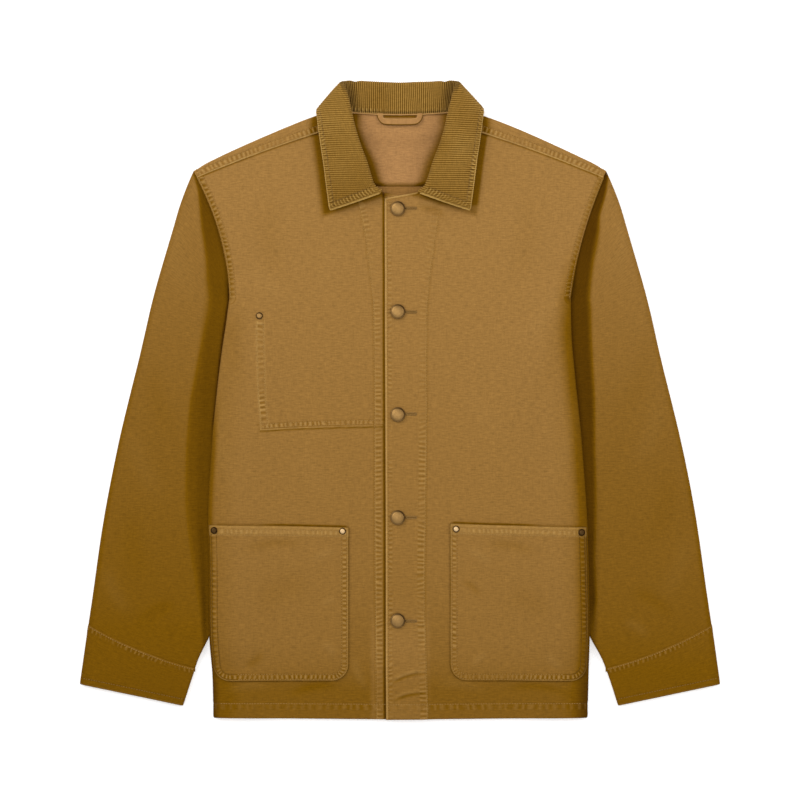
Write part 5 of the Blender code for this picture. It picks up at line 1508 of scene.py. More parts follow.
# %% Back
BACK_LINE = (
    # y, x of the back's side edge on the right and on the left
    (HEM_Y, 179.4, 180.9),
    (-330, 179.6, 181.6), (-200, 183, 180), (-60, 179.5, 172.6), (20, 172, 165), (78, 165, 160),
    (104, 190, 189), (121.4, 191.5, 191.5), (154.6, 197.8, 197.8), (188, 207.6, 207.6),
    (221.3, 221.4, 221.4), (254.8, 233.6, 233.6),
)
BACK_STEP = 5


def make_back():
    rows = multiple((YOKE_SEAM_Y - HEM_Y) / BACK_STEP, COARSE[0])
    tuck = YOKE_SEAM_Y + np.array([1.6, 3.2, 5])
    y = np.concatenate([np.linspace(HEM_Y, YOKE_SEAM_Y, rows), tuck])[:, None]
    right, left = -read(BACK_LINE, y), read(BACK_LINE, y, 2)
    rise = np.zeros(y.shape)
    rise[-3:, 0] = (0.35, 0.6, 0.7)
    flat = joined(right + (left - right) * np.linspace(0, 1, 82), y, rise)
    top = flat + (CLOTH - 1.2 * rise)[..., None] * (0, 0, 1)
    # Painted shade on the back, darker towards the hem, and on its wrong side towards the yoke seam.
    masks = {"deep": 0.16 + 0.25 * ease((-320 - flat[..., 1]) / 30)}
    inner_deep = 0.12 + 0.14 * ease((flat[..., 1] - 190) / 30)
    return cloth_wall("back_cloth", flat, top, COARSE, canvas, flat[..., :2], masks, inner_deep=inner_deep)


back_cloth = make_back()

# %% [markdown]
# ## The turned-under sides
# Inside each turned side the back's cloth lies folded between the front's two layers. It shows only at the
# hem, as the edge of a folded layer, so one soft folded wall stands for it.

# %% Side layers
def make_side_layer(side):
    """A folded layer: at each level an arch from its top edge round a nose and back along the bottom."""
    levels = np.linspace(HEM_Y + 1, 64, 91)[:, None]
    inside = np.linspace(TURN_WIDTH - 3, 13, 16)
    x = fold_edge(levels, side) - inside
    low = CLOTH + 0.9 + lift(inside, levels)
    top = np.maximum(front_top(x, levels, side) - CLOTH - 1, low + 1.7)
    turn = np.linspace(math.pi / 2, -math.pi / 2, 9)[1:-1]
    middle, half = (top[:, -1:] + low[:, -1:]) / 2, (top[:, -1:] - low[:, -1:]) / 2
    nose = joined(x[:, -1:] + 2.4 * np.cos(turn), levels, middle + half * np.sin(turn))
    bottom = joined(x, levels, low)[:, ::-1]
    layer = np.concatenate([joined(x, levels, top), nose, bottom], axis=1)
    inner = layer - normals_of(layer, (40, 4)) * 0.75
    # A flat painted shade on the folded layer.
    masks = {"deep": np.full(layer.shape[:2], 0.4)}
    name, uv = f"side_layer_{SIDE_NAMES[side]}", layer[..., :2]
    return cloth_wall(name, layer, inner, COARSE, canvas, uv, masks, side)


side_layers = {side: make_side_layer(side) for side in (LEFT, RIGHT)}

# %% [markdown]
# ## Lower pockets
# A patch pocket is a square of canvas with round lower corners, turned in all round and double stitched. Its
# mouth is a wider hem that stands a little off the front, so a dark line lies under it, its own shadow and a
# painted shadow. The grid follows the front's own surface and moves out from it, so the pocket bends with the
# cloth it is sewn to.

# %% Pockets
POCKET_BOTTOM_Y = -334.6
POCKET_CORNER = 20
POCKET_EDGE_INSET = 2.4
POCKET_HEM = 12
POCKET_ROWS = (2.4, 8.4)
MOUTH_ROWS = (4.4, 10.4)
POCKET_STEP = 1.4
POCKET_COLUMNS = 121
POCKET_CREASES = {
    LEFT: (
        # x0, y0, x1, y1, width, depth
        (76, -176, 112, -200, 5, 0.7), (96, -172, 170, -186, 6, -0.6), (72, -214, 98, -236, 4, -0.5),
        (84, -318, 108, -300, 4, 0.6), (196, -320, 170, -296, 5, 0.6), (120, -230, 186, -262, 15, -0.7),
    ),
    RIGHT: (
        (72, -178, 110, -196, 5, 0.7), (110, -172, 196, -182, 6, -0.6), (76, -306, 96, -286, 5, 0.7),
        (186, -318, 160, -296, 5, -0.6), (100, -214, 180, -250, 16, -0.8), (74, -236, 96, -246, 4, 0.5),
    ),
}
pocket_faces = {}


def pocket_outline(side):
    """The pocket's outline as a plan line with the cloth to its left: down the inner edge, round and up."""
    turn = np.linspace(math.pi, 1.5 * math.pi, 9)
    low_y, inner_x = POCKET_BOTTOM_Y + POCKET_CORNER, POCKET_INNER_X[side]
    levels = np.linspace(POCKET_TOP_Y + 4, low_y, 8)[:-1]
    outer = fold_edge(levels, side) - POCKET_EDGE_INSET
    outer_low = float(fold_edge(np.array(low_y), side)) - POCKET_EDGE_INSET
    corner = POCKET_CORNER * joined(np.cos(turn), np.sin(turn))
    first = corner + (inner_x + POCKET_CORNER, low_y)
    second = corner[::-1] * (-1, 1) + (outer_low - POCKET_CORNER, low_y)
    return np.concatenate([joined(inner_x, levels), first, second, joined(outer, levels)[::-1]])


def make_pocket(side):
    even = np.linspace(0, 1, multiple((POCKET_TOP_Y - POCKET_BOTTOM_Y) / POCKET_STEP, COARSE[0]))
    level = POCKET_TOP_Y + (POCKET_BOTTOM_Y - POCKET_TOP_Y) * (even + 0.035 * np.sin(math.pi * even))[:, None]
    depth = np.clip(POCKET_BOTTOM_Y + POCKET_CORNER - level, 0, POCKET_CORNER)
    cut = POCKET_CORNER - np.sqrt(np.maximum(POCKET_CORNER**2 - depth**2, 0))
    held = fold_edge(level, side) - POCKET_EDGE_INSET - cut
    start = POCKET_INNER_X[side] + cut
    share = crowded(np.linspace(0, 1, POCKET_COLUMNS), 0.25)
    x = start + (held - start) * share
    y = level + (pocket_mouth(x, side) - POCKET_TOP_Y) * (1 - ease((POCKET_TOP_Y - level) / 40))
    ground = Relief(x, y)
    ground.uneven(FRONT_SEED[side])
    step = 0.3
    slope = (front_top(x + step, y, side) - front_top(x - step, y, side)) / (2 * step)
    normal = unit(joined(-np.clip(slope, -2.2, 2.2), 0, 1))
    base = joined(x, y, front_top(x, y, side))
    seed = FRONT_SEED[side] + 3000
    detail = Relief(x, y)
    detail.uneven(seed, 0.8)
    edge_d, edge_s = beside(x, y, pocket_outline(side), 17)
    mouth_d = np.abs(POCKET_TOP_Y - level) + 0 * x
    plainer = 1 - 0.55 * ease((x - 188) / 12) * ease((y + 322) / 12)
    detail.gather(edge_d, edge_s, POCKET_ROWS, 7.2, 0.46, seed + 10, ease((mouth_d - 1) / 6), plainer)
    detail.gather(mouth_d, x + 9, MOUTH_ROWS, 9.4, 0.36, seed + 20, ease((edge_d - 1) / 4), 0.6)
    folds = Relief(x, y)
    folds.creases(POCKET_CREASES[side])
    inner_part = ease((edge_d - 3) / 6) * ease((mouth_d - 14) / 5)
    gape = (1 - ease(mouth_d / 55)) * np.sin(math.pi * np.clip(share, 0, 1)) ** 0.8
    relief = detail.height + 0.75 * (1 - ease((mouth_d - POCKET_HEM + 0.4) / 1.4)) + folds.height * inner_part
    relief = relief + gape * (1.1 + 0.5 * np.sin(2 * math.pi * share + (0.6 if side == LEFT else 2.4)))
    to_rim = np.minimum(edge_d, mouth_d)
    curl = 1.15 * np.exp(-np.maximum(to_rim, 0) / 0.45)
    outer = base + normal * (ground.height + 1 + CLOTH + relief - curl)[..., None]
    inner = base + normal * (ground.height + 0.45 + gape)[..., None]
    # Painted shade as on the front, a little lighter lower down, plus the creases' painted shade and
    # highlight and a painted shadow along the rim; the mouth's hem is paler.
    deep = np.clip(body_shade(x, y, side) - 0.02 - 0.05 * ease((-200 - y) / 100), 0, 1)
    deep = deep + folds.deep * inner_part + 0.55 * bell(to_rim, 0.7)
    wear = folds.wear * inner_part + 0.22 * (1 - ease((mouth_d - POCKET_HEM + 1) / 2))
    masks = {"wear": wear, "deep": deep, **detail.fields}
    pocket_faces[side] = (outer, normal)
    name = f"pocket_{SIDE_NAMES[side]}_cloth"
    return cloth_wall(name, outer, inner, COARSE, canvas, joined(x, y), masks, side, base)


pockets = {side: make_pocket(side) for side in (LEFT, RIGHT)}

# %% [markdown]
# ## The corduroy collar
# The collar is a stand, rising from the neck seam, and a leaf, which falls back over it. One surface runs up
# the stand, round the roll and out along the leaf, between three lines: neck seam, fold and outer edge.
# The wales are ridges of pile, rounded, with a narrow groove between, so the surface is
# pushed in and out by the size of a sine. On the leaf they lie level, and on the stand they stand upright.

# %% Collar: lines
CORDUROY = 2.6  # wall of the collar
COLLAR_ROLL = 2.6  # radius of the fold, at the middle of the wall
LEAF_CROWN = 1.6
LEAF_WALE, STAND_WALE = 2.5, 2.5  # distances between wales
WALE_DEPTH = 0.62
COLLAR_STITCH = 6.6  # of the topstitch from the leaf's edge
COLLAR_COARSE = (8, 3)
STAND_POINTS, ROLL_POINTS, LEAF_POINTS = 19, 7, 35


def collar_lines():
    """Seam, fold and edge as dense points from the right end to the left, each (stations, 3)."""
    half = np.array(COLLAR_STATIONS).reshape(-1, 3, 3)
    whole = np.concatenate([mirrored(half, RIGHT), half[-2::-1]])
    fold = whole[:, 1]
    length = lengths(fold)
    at = np.linspace(0, length[-1], multiple(length[-1] / 0.43, COLLAR_COARSE[0]))
    return [joined(*[curve(at, length, values) for values in whole[:, line].T]) for line in range(3)]


def collar_middle():
    """The middle of the wall: stand, an arc of half a turn at the fold, and the leaf with a slight crown."""
    seam, fold, edge = collar_lines()
    tangent = unit(np.gradient(fold, axis=0))

    def square(vector):
        return unit(vector - tangent * (vector * tangent).sum(axis=1, keepdims=True))

    to_seam, to_edge = square(seam - fold), square(edge - fold)
    into = square(to_seam + to_edge)
    leaf_side = square(to_edge - into * (to_edge * into).sum(axis=1, keepdims=True))
    centre = fold + COLLAR_ROLL * into
    stand_end, leaf_start = centre - COLLAR_ROLL * leaf_side, centre + COLLAR_ROLL * leaf_side
    share = np.linspace(0, 1, STAND_POINTS)[:-1, None, None]
    stand = seam + (stand_end - seam) * share
    angle = np.linspace(-math.pi / 2, math.pi / 2, ROLL_POINTS)[:, None, None]
    roll = centre + COLLAR_ROLL * (np.sin(angle) * leaf_side - np.cos(angle) * into)
    share = np.linspace(0, 1, LEAF_POINTS + 1)[1:]
    share = (share + 0.35 * np.sin(math.pi * share) / math.pi)[:, None, None]
    crown = LEAF_CROWN * arch(share) * np.clip(leaf_side[:, 2:], 0, 1)
    leaf = leaf_start + (edge - leaf_start) * share + crown * leaf_side
    return np.concatenate([stand, roll, leaf]).transpose(1, 0, 2), fold


# %% Collar: wales and stitching
def wale_phase(middle, fold):
    """Counts wales. Along the fold it grows by 1 a wale: by level on the front leaves, by length at the back.
    Off the fold on a leaf it changes with level, so the wales there lie level."""
    length = lengths(fold)
    back = ease((66 - np.abs(fold[:, 0])) / 3) * (fold[:, 1] > 374)
    slope = np.gradient(fold[:, 1]) / np.maximum(np.gradient(length), 1e-6)
    rate = np.maximum(np.abs(slope) / LEAF_WALE * (1 - back) + back / STAND_WALE, 1 / 2.9)
    along = np.concatenate([[0], np.cumsum(np.diff(length) * (rate[1:] + rate[:-1]) / 2)])
    sign = np.where(fold[:, 0] < 0, 1, -1) * (1 - back)
    leaf = (middle[..., 1] - fold[:, None, 1]) / LEAF_WALE * sign[:, None]
    leaf[:, :STAND_POINTS - 1 + ROLL_POINTS // 2] = 0
    return along[:, None] + leaf


def make_collar():
    middle, fold = collar_middle()
    facing = normals_of(middle, (len(middle) // 2, 0))
    phase = wale_phase(middle, fold)
    across_x, y = middle[..., 0], middle[..., 1]
    x = np.abs(across_x)
    wander = 0.1 * plane_noise(across_x / 11 + 30, y / 11 + 30, 701)
    ridge = np.abs(np.sin(math.pi * (phase + wander))) ** 0.75
    across = np.array([lengths(line) for line in middle])
    to_edge = across[:, -1:] - across
    chord = middle[:, -1] - middle[:, STAND_POINTS + ROLL_POINTS]
    tilt = np.hypot(chord[:, 0], chord[:, 1]) / np.maximum(np.abs(chord[:, 0]), 1e-3)
    to_end = np.where(fold[:, 1] < 330, np.abs(fold[:, 1] - fold[0, 1]) / tilt, 80)[:, None] + 0 * across
    to_rim = np.minimum(to_edge, to_end)
    on_leaf = np.zeros(x.shape)
    on_leaf[:, STAND_POINTS + ROLL_POINTS - 2:] = 1
    stand = 1 - on_leaf
    back = ease((fold[:, 1] - 360) / 12)[:, None] * stand
    leaf_folds = on_leaf * (0.45 + 0.55 * ease((325 - y) / 60))
    edge_length = lengths(middle[:, -1])[:, None] + 0 * across
    detail = Relief(x, y)
    detail.gather(to_edge, edge_length, (1.9, COLLAR_STITCH), 7.2, 0.7, 710, leaf_folds, 1.6, 4.3)
    detail.gather(to_end, across + 90 * (across_x > 0), (1.9, COLLAR_STITCH), 6.6, 0.7, 720, on_leaf, 1, 4)
    detail.gather(across, across_x + 120, (1.8,), 6, 0.8, 730, stand, 1.3, 4.4)
    soft = 0.8 * plane_noise(across_x / 19 + 20, y / 16 + 20, 740)
    dent = -1.3 * back * bell(x - 54 - 0.35 * (378 - y), 3.4)
    height = WALE_DEPTH * (ridge - 0.62) * (1 - 0.35 * bell(to_edge, 1.4))
    height = height + detail.height + 0.45 * soft + dent
    rim = bell(to_rim) * on_leaf
    height = height + 0.35 * bell(to_rim - 1.4, 1.2) * on_leaf - 0.8 * rim
    corner = np.hypot(np.clip(4 - to_edge, 0, None), np.clip(4 - to_end, 0, None))
    pulled = middle + unit(middle[:, -12:-11] - middle[:, -1:]) * np.clip(corner - 4, 0, None)[..., None]
    face = above_floor(pulled + facing * (CORDUROY / 2 + height)[..., None])
    # Painted highlight on the wales' tips, with rubbing at the rims; painted shade between the wales, in a
    # line at the stand's foot, on the back stand's sides and a little on the lower leaves.
    tips = np.clip(ridge - 0.55, 0, 1) / 0.45
    patch = 0.5 + 0.5 * plane_noise(across_x / 24 + 20, y / 30 + 20, 750)
    low_half = ease((300 - y) / 70) * on_leaf
    wear = 0.46 * tips * (0.45 + 0.55 * patch) * (1 - 0.45 * low_half) + 0.75 * rim
    deep = 0.92 * (1 - ridge) ** 1.1 + 0.05 * low_half + 0.04 * stand
    deep = deep + 0.8 * stand * bell(across - 1.4) + 0.55 * back * ease((x - 44) / 18)
    masks = {"wear": np.clip(wear * (1 - 0.1 * stand), 0, 1), "deep": np.clip(deep, 0, 1), **detail.fields}
    plain, uv = pulled - facing * CORDUROY / 2, joined(phase * LEAF_WALE, across)
    made = cloth_wall("collar_corduroy", face, plain, COLLAR_COARSE, corduroy, uv, masks, sheet=middle)
    return made, face, facing, to_edge, to_end


collar, collar_face, collar_facing, collar_to_edge, collar_to_end = make_collar()

# %% [markdown]
# ## Neck binding and hanger loop
# A narrow folded strip covers the neck seam inside, and shows as one light line below the stand. The hanger
# loop is a folded band caught in that seam at both ends. Both are a soft oval profile carried along a path:
# at each point of the path, the profile's two directions are the path's side and its up.

# %% Bands
def ring_faces(rings):
    """Quads between neighbouring rings of points, and a cap at both ends."""
    index = np.arange(rings.shape[0] * rings.shape[1]).reshape(rings.shape[:2])
    sides = grid_quads(np.concatenate([index, index[:, :1]], axis=1))
    return [sides, np.stack([index[0, ::-1], index[-1]])]


def carried(path, up, profile):
    """Rings of a profile of (side, up) points at each point of a path, and their faces."""
    ahead = unit(np.gradient(path, axis=0))
    side = unit(np.cross(ahead, up))
    rise = np.cross(side, ahead)
    profile = np.broadcast_to(profile, (len(path),) + np.shape(profile)[-2:])
    rings = path[:, None] + side[:, None] * profile[..., :1] + rise[:, None] * profile[..., 1:]
    return rings.reshape(-1, 3), ring_faces(rings)


def soft_box(half_width, half_height, count=14, square=0.45):
    """An oval with nearly flat sides: cosine and sine raised to a power below 1."""
    turn = np.linspace(0, 2 * math.pi, count, endpoint=False)
    circle = joined(np.cos(turn), np.sin(turn))
    return np.sign(circle) * np.abs(circle) ** square * (half_width, half_height)


def band_uv(path, count):
    return joined(lengths(path)[:, None], np.linspace(0, 10, count)).reshape(-1, 2)


BINDING_LINE = (
    # distance from the middle with a minus sign, y, z
    (-68.5, 346, 6.6), (-61, 343.2, 6), (-48, 341.8, 5.9), (-26, 340.9, 5.8), (0, 340.6, 5.8),
)


def make_binding():
    x = np.linspace(-70, 70, 181)
    y = read(BINDING_LINE, -np.abs(x)) - 0.9 + 0.7 * (x / 57) ** 2 + 0.15 * line_noise(x / 9, 801)
    path = joined(x, y, read(BINDING_LINE, -np.abs(x), 2) + 1.2)
    profile = soft_box(0.8, 0.8, 10) * (1 + 0.12 * line_noise(x / 4, 802))[:, None, None]
    points, faces = carried(path, (0, 0, 1), profile)
    masks = {"wear": np.full(len(points), 0.3), "inside": np.ones(len(points))}
    return add_mesh("neck_binding", points, faces, inside_canvas, band_uv(path, 10), masks)


LOOP_LINES = (
    # outer_x, outer_y, inner_x, inner_y of the band from its end at the neck to its middle
    (27.8, 341.2, 20.6, 341.2), (27.2, 337, 20.3, 338.4), (25.2, 332.6, 19.9, 336.4),
    (21.6, 328.8, 18.8, 335.6), (17, 327.4, 15.6, 335.2), (9, 327, 8.6, 334.9), (0, 326.8, 0, 334.8),
)


def make_hanger_loop():
    """A flat band between an outer and an inner line: middle + profile x half its width, and + its height."""
    table = np.array(LOOP_LINES)
    at = np.linspace(0, len(table) - 1, 61)
    half = joined(*[curve(at, np.arange(len(table)), values) for values in table.T])
    whole = np.concatenate([half * (-1, 1, -1, 1), half[-2::-1]])
    outer, inner = whole[:, :2], whole[:, 2:]
    middle = (outer + inner) / 2
    z = leaf_lift(*middle.T) + CLOTH + 1.2 + 2 * ease((340 - middle[:, 1]) / 9)
    profile = soft_box(1, 0.8, 16)
    plan = middle[:, None] + (outer - inner)[:, None] / 2 * profile[:, :1]
    height = z[:, None] + profile[:, 1] + 0.25 * line_noise(np.arange(len(z)) / 7, 811)[:, None]
    rings = np.concatenate([plan, height[..., None]], axis=-1)
    # A painted highlight on the band's top edge, and a painted shadow along its lower edge.
    top_edge = (profile[:, 0] < -0.75) & (profile[:, 1] > 0)
    wear = np.tile(np.where(top_edge, 0.45, 0.06), len(rings))
    low_edge = np.tile(np.where(profile[:, 0] > 0.8, 0.85, 0.04), len(rings))
    masks = {"wear": wear, "deep": low_edge, "inside": np.ones(len(wear))}
    points, uv = rings.reshape(-1, 3), band_uv(middle, 16)
    return add_mesh("hanger_band", points, ring_faces(rings), inside_canvas, uv, masks)


binding = make_binding()
hanger_band = make_hanger_loop()
print("bands:", binding.name, hanger_band.name)

# %% [markdown]
# ## Buttons and rivets
# The buttons are stamped caps: a rolled rim, a shallow groove and a low dome. A rivet is a flat ring with a
# small domed head in its middle. Both are profiles turned about an axis, which is what a lathe or a Screw
# modifier does, but a mask can be written straight from the profile's radius, so the groove is dark with
# patina and the outer wall with painted shade.

# %% Turned brass
BUTTON_PROFILE = (
    # radius, height, darkness: patina in the groove, painted shade on the outer wall
    (0, -0.2, 1), (7.6, -0.2, 1), (8.5, 0.5, 1), (8.85, 1.3, 0.85), (8.75, 2, 0.45), (8.35, 2.5, 0.25),
    (7.95, 2.55, 0.55), (7.65, 2.45, 0.75), (7.3, 2.5, 0.45), (6.8, 2.85, 0.05), (5.6, 3.22, 0),
    (3.9, 3.52, 0), (1.9, 3.7, 0), (0, 3.76, 0),
)
RIVET_PROFILE = (
    (0, -0.2, 1), (3.9, -0.2, 1), (4.15, 0.35, 1), (3.95, 0.8, 0.75), (3.55, 0.85, 0.85),
    (3.25, 0.9, 0.95), (3, 1.2, 0.35), (2.7, 1.45, 0), (1.6, 1.55, 0), (0, 1.6, 0),
)
RIVETS = (
    # name, side, x, y, extra darkening, which is painted shade on the two rivets at the rolled sides
    ("rivet_1", RIGHT, 68.6, -155.8, 0),
    ("rivet_2", RIGHT, 220, -154, 0.8),
    ("rivet_3", LEFT, 67.2, -154.2, 0),
    ("rivet_4", LEFT, 216, -157, 0.8),
    ("rivet_5", RIGHT, 167.1, 100, 0.1),
)


def turned(name, profile, segments, base, axis, patina_and_shade=0.0, shaded_side=0.0, rubbed=0.0):
    """A profile of (radius, height) turned about an axis: centre + axis h + circle r. The first number after
    the
    axis darkens all of it: a little oxide on the buttons, painted shade on the two rivets at the rolled
    sides.
    The second paints shade on its upper right, and the third brightens what isn't dark."""
    table, base, axis = np.array(profile), np.asarray(base), unit(np.array(axis, float))
    across = unit(np.cross(axis, (0, 1, 0)))
    turn = np.linspace(0, 2 * math.pi, segments, endpoint=False)[:, None]
    circle = np.cos(turn) * across + np.sin(turn) * np.cross(axis, across)
    rings = base + axis * table[1:-1, 1, None, None] + circle * table[1:-1, 0, None, None]
    points = np.concatenate([base + axis * table[[0, -1], 1:2], rings.reshape(-1, 3)])
    index = 2 + np.arange(len(rings) * segments).reshape(len(rings), segments)
    index = np.concatenate([index, index[:, :1]], axis=1)
    zero, one = np.zeros(segments, int), np.ones(segments, int)
    fans = np.concatenate([
        np.stack([zero, index[0, 1:], index[0, :-1]], axis=-1),
        np.stack([one, index[-1, :-1], index[-1, 1:]], axis=-1),
    ])
    deep = np.concatenate([table[[0, -1], 2], np.repeat(table[1:-1, 2], segments)])
    deep = deep + patina_and_shade * (1 - deep)
    # Painted shade on the upper right side of each cap.
    off = (points - base)[:, :2] @ (0.8, 0.6) / table[:, 0].max()
    deep = np.clip(deep + shaded_side * np.clip(off + 0.1, 0, 1), 0, 1)
    masks = {"deep": deep, "wear": rubbed * (deep < 0.1)}
    return add_mesh(name, points, [grid_quads(index), fans], brass, None, masks)


def make_buttons():
    made = []
    for index in range(5):
        y = BUTTON_TOP_Y - index * BUTTON_PITCH
        base = float(front_top(np.array(BUTTON_X), np.array(y), LEFT)) + 0.25
        lean = np.random.default_rng(900 + index).uniform(-0.05, 0.05, 2)
        name, place = f"brass_button_{index + 1}", (BUTTON_X, y, base)
        # The last number is painted shade on each button's upper right side.
        made.append(turned(name, BUTTON_PROFILE, 56, place, (*lean, 1), 0.04, 0.42))
    return made


def make_rivets():
    made = []
    for name, side, x, y, patina_and_shade in RIVETS:
        if name == "rivet_5":
            points, normals = front_surface(np.array([x]), np.array([y]), side)
            place, normal, rise = points[0], normals[0], 0.25
        else:
            face, facing = pocket_faces[side]
            far = (face[..., 0] - x) ** 2 + (face[..., 1] - y) ** 2
            spot = np.unravel_index(np.argmin(far), far.shape)
            place, normal, rise = face[spot], facing[spot], 0.1
        base, axis = mirrored(place + normal * rise, side), mirrored(normal, side)
        made.append(turned("brass_" + name, RIVET_PROFILE, 36, base, axis, patina_and_shade, 0.15, 0.7))
    return made


buttons = make_buttons()
rivets = make_rivets()
print(len(buttons), "buttons and", len(rivets), "rivets")

# %% [markdown]
# ## Buttonholes
# Each buttonhole is a slit whose edges are bound with close stitches. The binding is a thread-thin oval
# profile carried round the slit, and its radius swells and sinks once a stitch, so it reads as whipped.

# %% Buttonholes
def make_buttonholes():
    blocks, groups, first = [], [], 0
    turn = np.linspace(0, 2 * math.pi, 129)[:-1]
    x = (HOLE_START + HOLE_END) / 2 + (HOLE_END - HOLE_START) / 2 * np.cos(turn)
    for level in HOLE_LEVELS:
        y = level + HOLE_HALF * np.sign(np.sin(turn)) * np.abs(np.sin(turn)) ** 0.35
        path = front_surface(x, y, LEFT)[0] + (0, 0, 0.18)
        path = np.concatenate([path, path[:2]])
        whip = 1 + 0.22 * np.sin(np.arange(len(path)) * math.pi * 0.9)
        rings, faces = carried(path, (0, 0, 1), soft_box(0.85, 0.55, 8, 0.8) * whip[:, None, None])
        blocks.append(rings)
        groups.append([group + first for group in faces])
        first += len(rings)
    faces = [np.concatenate(same) for same in zip(*groups)]
    # The binding thread is darkened by half: painted shade of the slit.
    return add_mesh("buttonholes", np.concatenate(blocks), faces, thread, None, {"deep": np.full(first, 0.5)})


buttonholes = make_buttonholes()
print(buttonholes.name, len(buttonholes.data.polygons), "faces")

# %% [markdown]
# ## Sewing it together
# The rows run where the machine ran: along the hem and the front edge, down the facing, round the chest
# pocket and the lower pockets, beside the armholes and shoulders, at the cuffs, and round the collar.

# %% Topstitching
def sew_on_front(side, line, deep=0.1):
    plan = along_line(line, 1)
    points, normals = front_surface(plan[:, 0], plan[:, 1], side)
    return sew("front_" + SIDE_NAMES[side], mirrored(points, side), mirrored(normals, side), deep)


def sew_fronts():
    count = 0
    for side in (LEFT, RIGHT):
        lines = front_lines(side)
        count += sew_on_front(side, inset(along_line(lines["edge"], 8), EDGE_STITCH))
        count += sew_on_front(side, inset(along_line(lines["hem"], 8), 1)[1:])
        count += sew_on_front(side, along_line(FACING_LINE[side], 8))
        for row in (1.6, 7.4):
            count += sew_on_front(side, inset(lines["armhole"], row))
    for row in (0.6, 8.4):
        count += sew_on_front(RIGHT, inset(along_line(CHEST_BAND[::-1], 8), row), 0)
    for row in (3.2, 7.6):
        count += sew_on_front(RIGHT, inset(along_line(CHEST_LEDGE[::-1], 8), row))
    return count


def sew_pockets():
    count = 0
    for side in (LEFT, RIGHT):
        face, facing = pocket_faces[side]
        outline = along_line(pocket_outline(side), 2)
        for row in POCKET_ROWS:
            plan = inset(outline, row)
            plan = plan[plan[:, 1] < POCKET_TOP_Y - 1.5]
            far = [((face[..., :2] - place) ** 2).sum(axis=-1).argmin() for place in plan]
            points = np.column_stack([plan, face.reshape(-1, 3)[far][:, 2]])
            normals = mirrored(facing.reshape(-1, 3)[far], side)
            turn = int(np.argmax(plan[:, 0] > 196))
            # The rows on the pocket's outer side get painted shade, where the front rolls away.
            for part, deep in ((slice(None, turn), 0.12), (slice(turn, None), 0.75)):
                count += sew("pockets", mirrored(points[part], side), normals[part], deep)
        for row in MOUTH_ROWS:
            spot = int(np.abs(face[:, 40, 1] - (face[0, 40, 1] - row)).argmin())
            points, normals = [mirrored(grid[spot, 5:-5], side) for grid in (face, facing)]
            count += sew("pockets", points, normals, 0.08)
    return count


print("stitches on the fronts:", sew_fronts())
print("stitches on the pockets:", sew_pockets())
stitching = [finish_sewing(piece) for piece in ("front_left", "front_right", "pockets")]


# %% Stitches on yoke, cuffs and collar
def surface_points(made, line, reach=6):
    """The nearest outer points of a finished mesh to plan points, taken from above, with their normals."""
    count = len(made.data.vertices)
    points, normals = np.empty(count * 3), np.empty(count * 3)
    made.data.vertices.foreach_get("co", points)
    made.data.vertex_normals.foreach_get("vector", normals)
    points, normals = points.reshape(-1, 3) / MM, normals.reshape(-1, 3)
    up = normals[:, 2] > 0.2
    points, normals = points[up], normals[up]
    found = []
    for px, py in line:
        far = (points[:, 0] - px) ** 2 + (points[:, 1] - py) ** 2 - 0.4 * points[:, 2]
        found.append(int(far.argmin()))
    placed = points[found].copy()
    placed[:, :2] = line
    return placed, normals[found]


def sew_on(piece, made, line, deep=0.1, lay=0.1):
    points, normals = surface_points(made, along_line(line, 2.2))
    return sew(piece, points, normals, deep, lay)


def sew_yoke_and_cuffs():
    count = 0
    seam_x = np.linspace(FRONT_ROWS[-1][0] + 2, armhole(ARMHOLE_FRONT_END)[0] - 2, 30)
    seam = joined(seam_x, shoulder_seam(seam_x))
    for side in (LEFT, RIGHT):
        for row in (1.7, 8.2):
            count += sew_on("yoke", yoke_cloth, inset(seam, row) * (side, 1))
        base = tube_grid(CUFF_STATIONS, CUFF_STEP, side)[0]
        middle = base[len(base) // 2, 40, :2]
        for row, station in ((2, 0), (8, -1)):
            line = base[station, 2:TOP_COLUMNS - 2, :2]
            both = inset(line, row), inset(line, -row)
            near = min(both, key=lambda plan: np.linalg.norm(plan[40] - middle))
            count += sew_on("cuffs", cuffs[side], near * (side, 1), 0.35 if station else 0, 0.14)
    return count


def sew_collar():
    rows, count = collar_face.shape[0], 0
    leaf = STAND_POINTS + ROLL_POINTS
    spot = np.abs(collar_to_edge[:, leaf:] - COLLAR_STITCH).argmin(axis=1) + leaf
    index = np.arange(rows)
    for side in (RIGHT, LEFT):
        chosen = (index < rows * 0.42) if side == RIGHT else (index > rows * 0.58)
        chosen &= collar_to_end[:, -1] > COLLAR_STITCH
        end = int(np.abs(collar_to_end[:rows // 2, -1] - COLLAR_STITCH).argmin())
        end = end if side == RIGHT else rows - 1 - end
        for place in ((index[chosen], spot[chosen]), (end, np.arange(leaf + 1, int(spot[end]) + 1))):
            count += sew("collar", collar_face[place], collar_facing[place], 0.45, 0.3)
    return count


print("stitches on yoke and cuffs:", sew_yoke_and_cuffs())
print("stitches on the collar:", sew_collar())
stitching += [finish_sewing(piece) for piece in ("yoke", "cuffs", "collar")]

# %% [markdown]
# ## What each piece stands for
# Every piece rides on the jacket's one body and hides the CAD nodes that it stands for. Each sheet of cloth
# has its measured area printed beside the size of its cut, measured flat before it was folded and laid.

# %% Pieces and sheets
def place_piece(made, slot, *nodes):
    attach(made, "root")
    if nodes:
        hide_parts(*nodes)
    return made


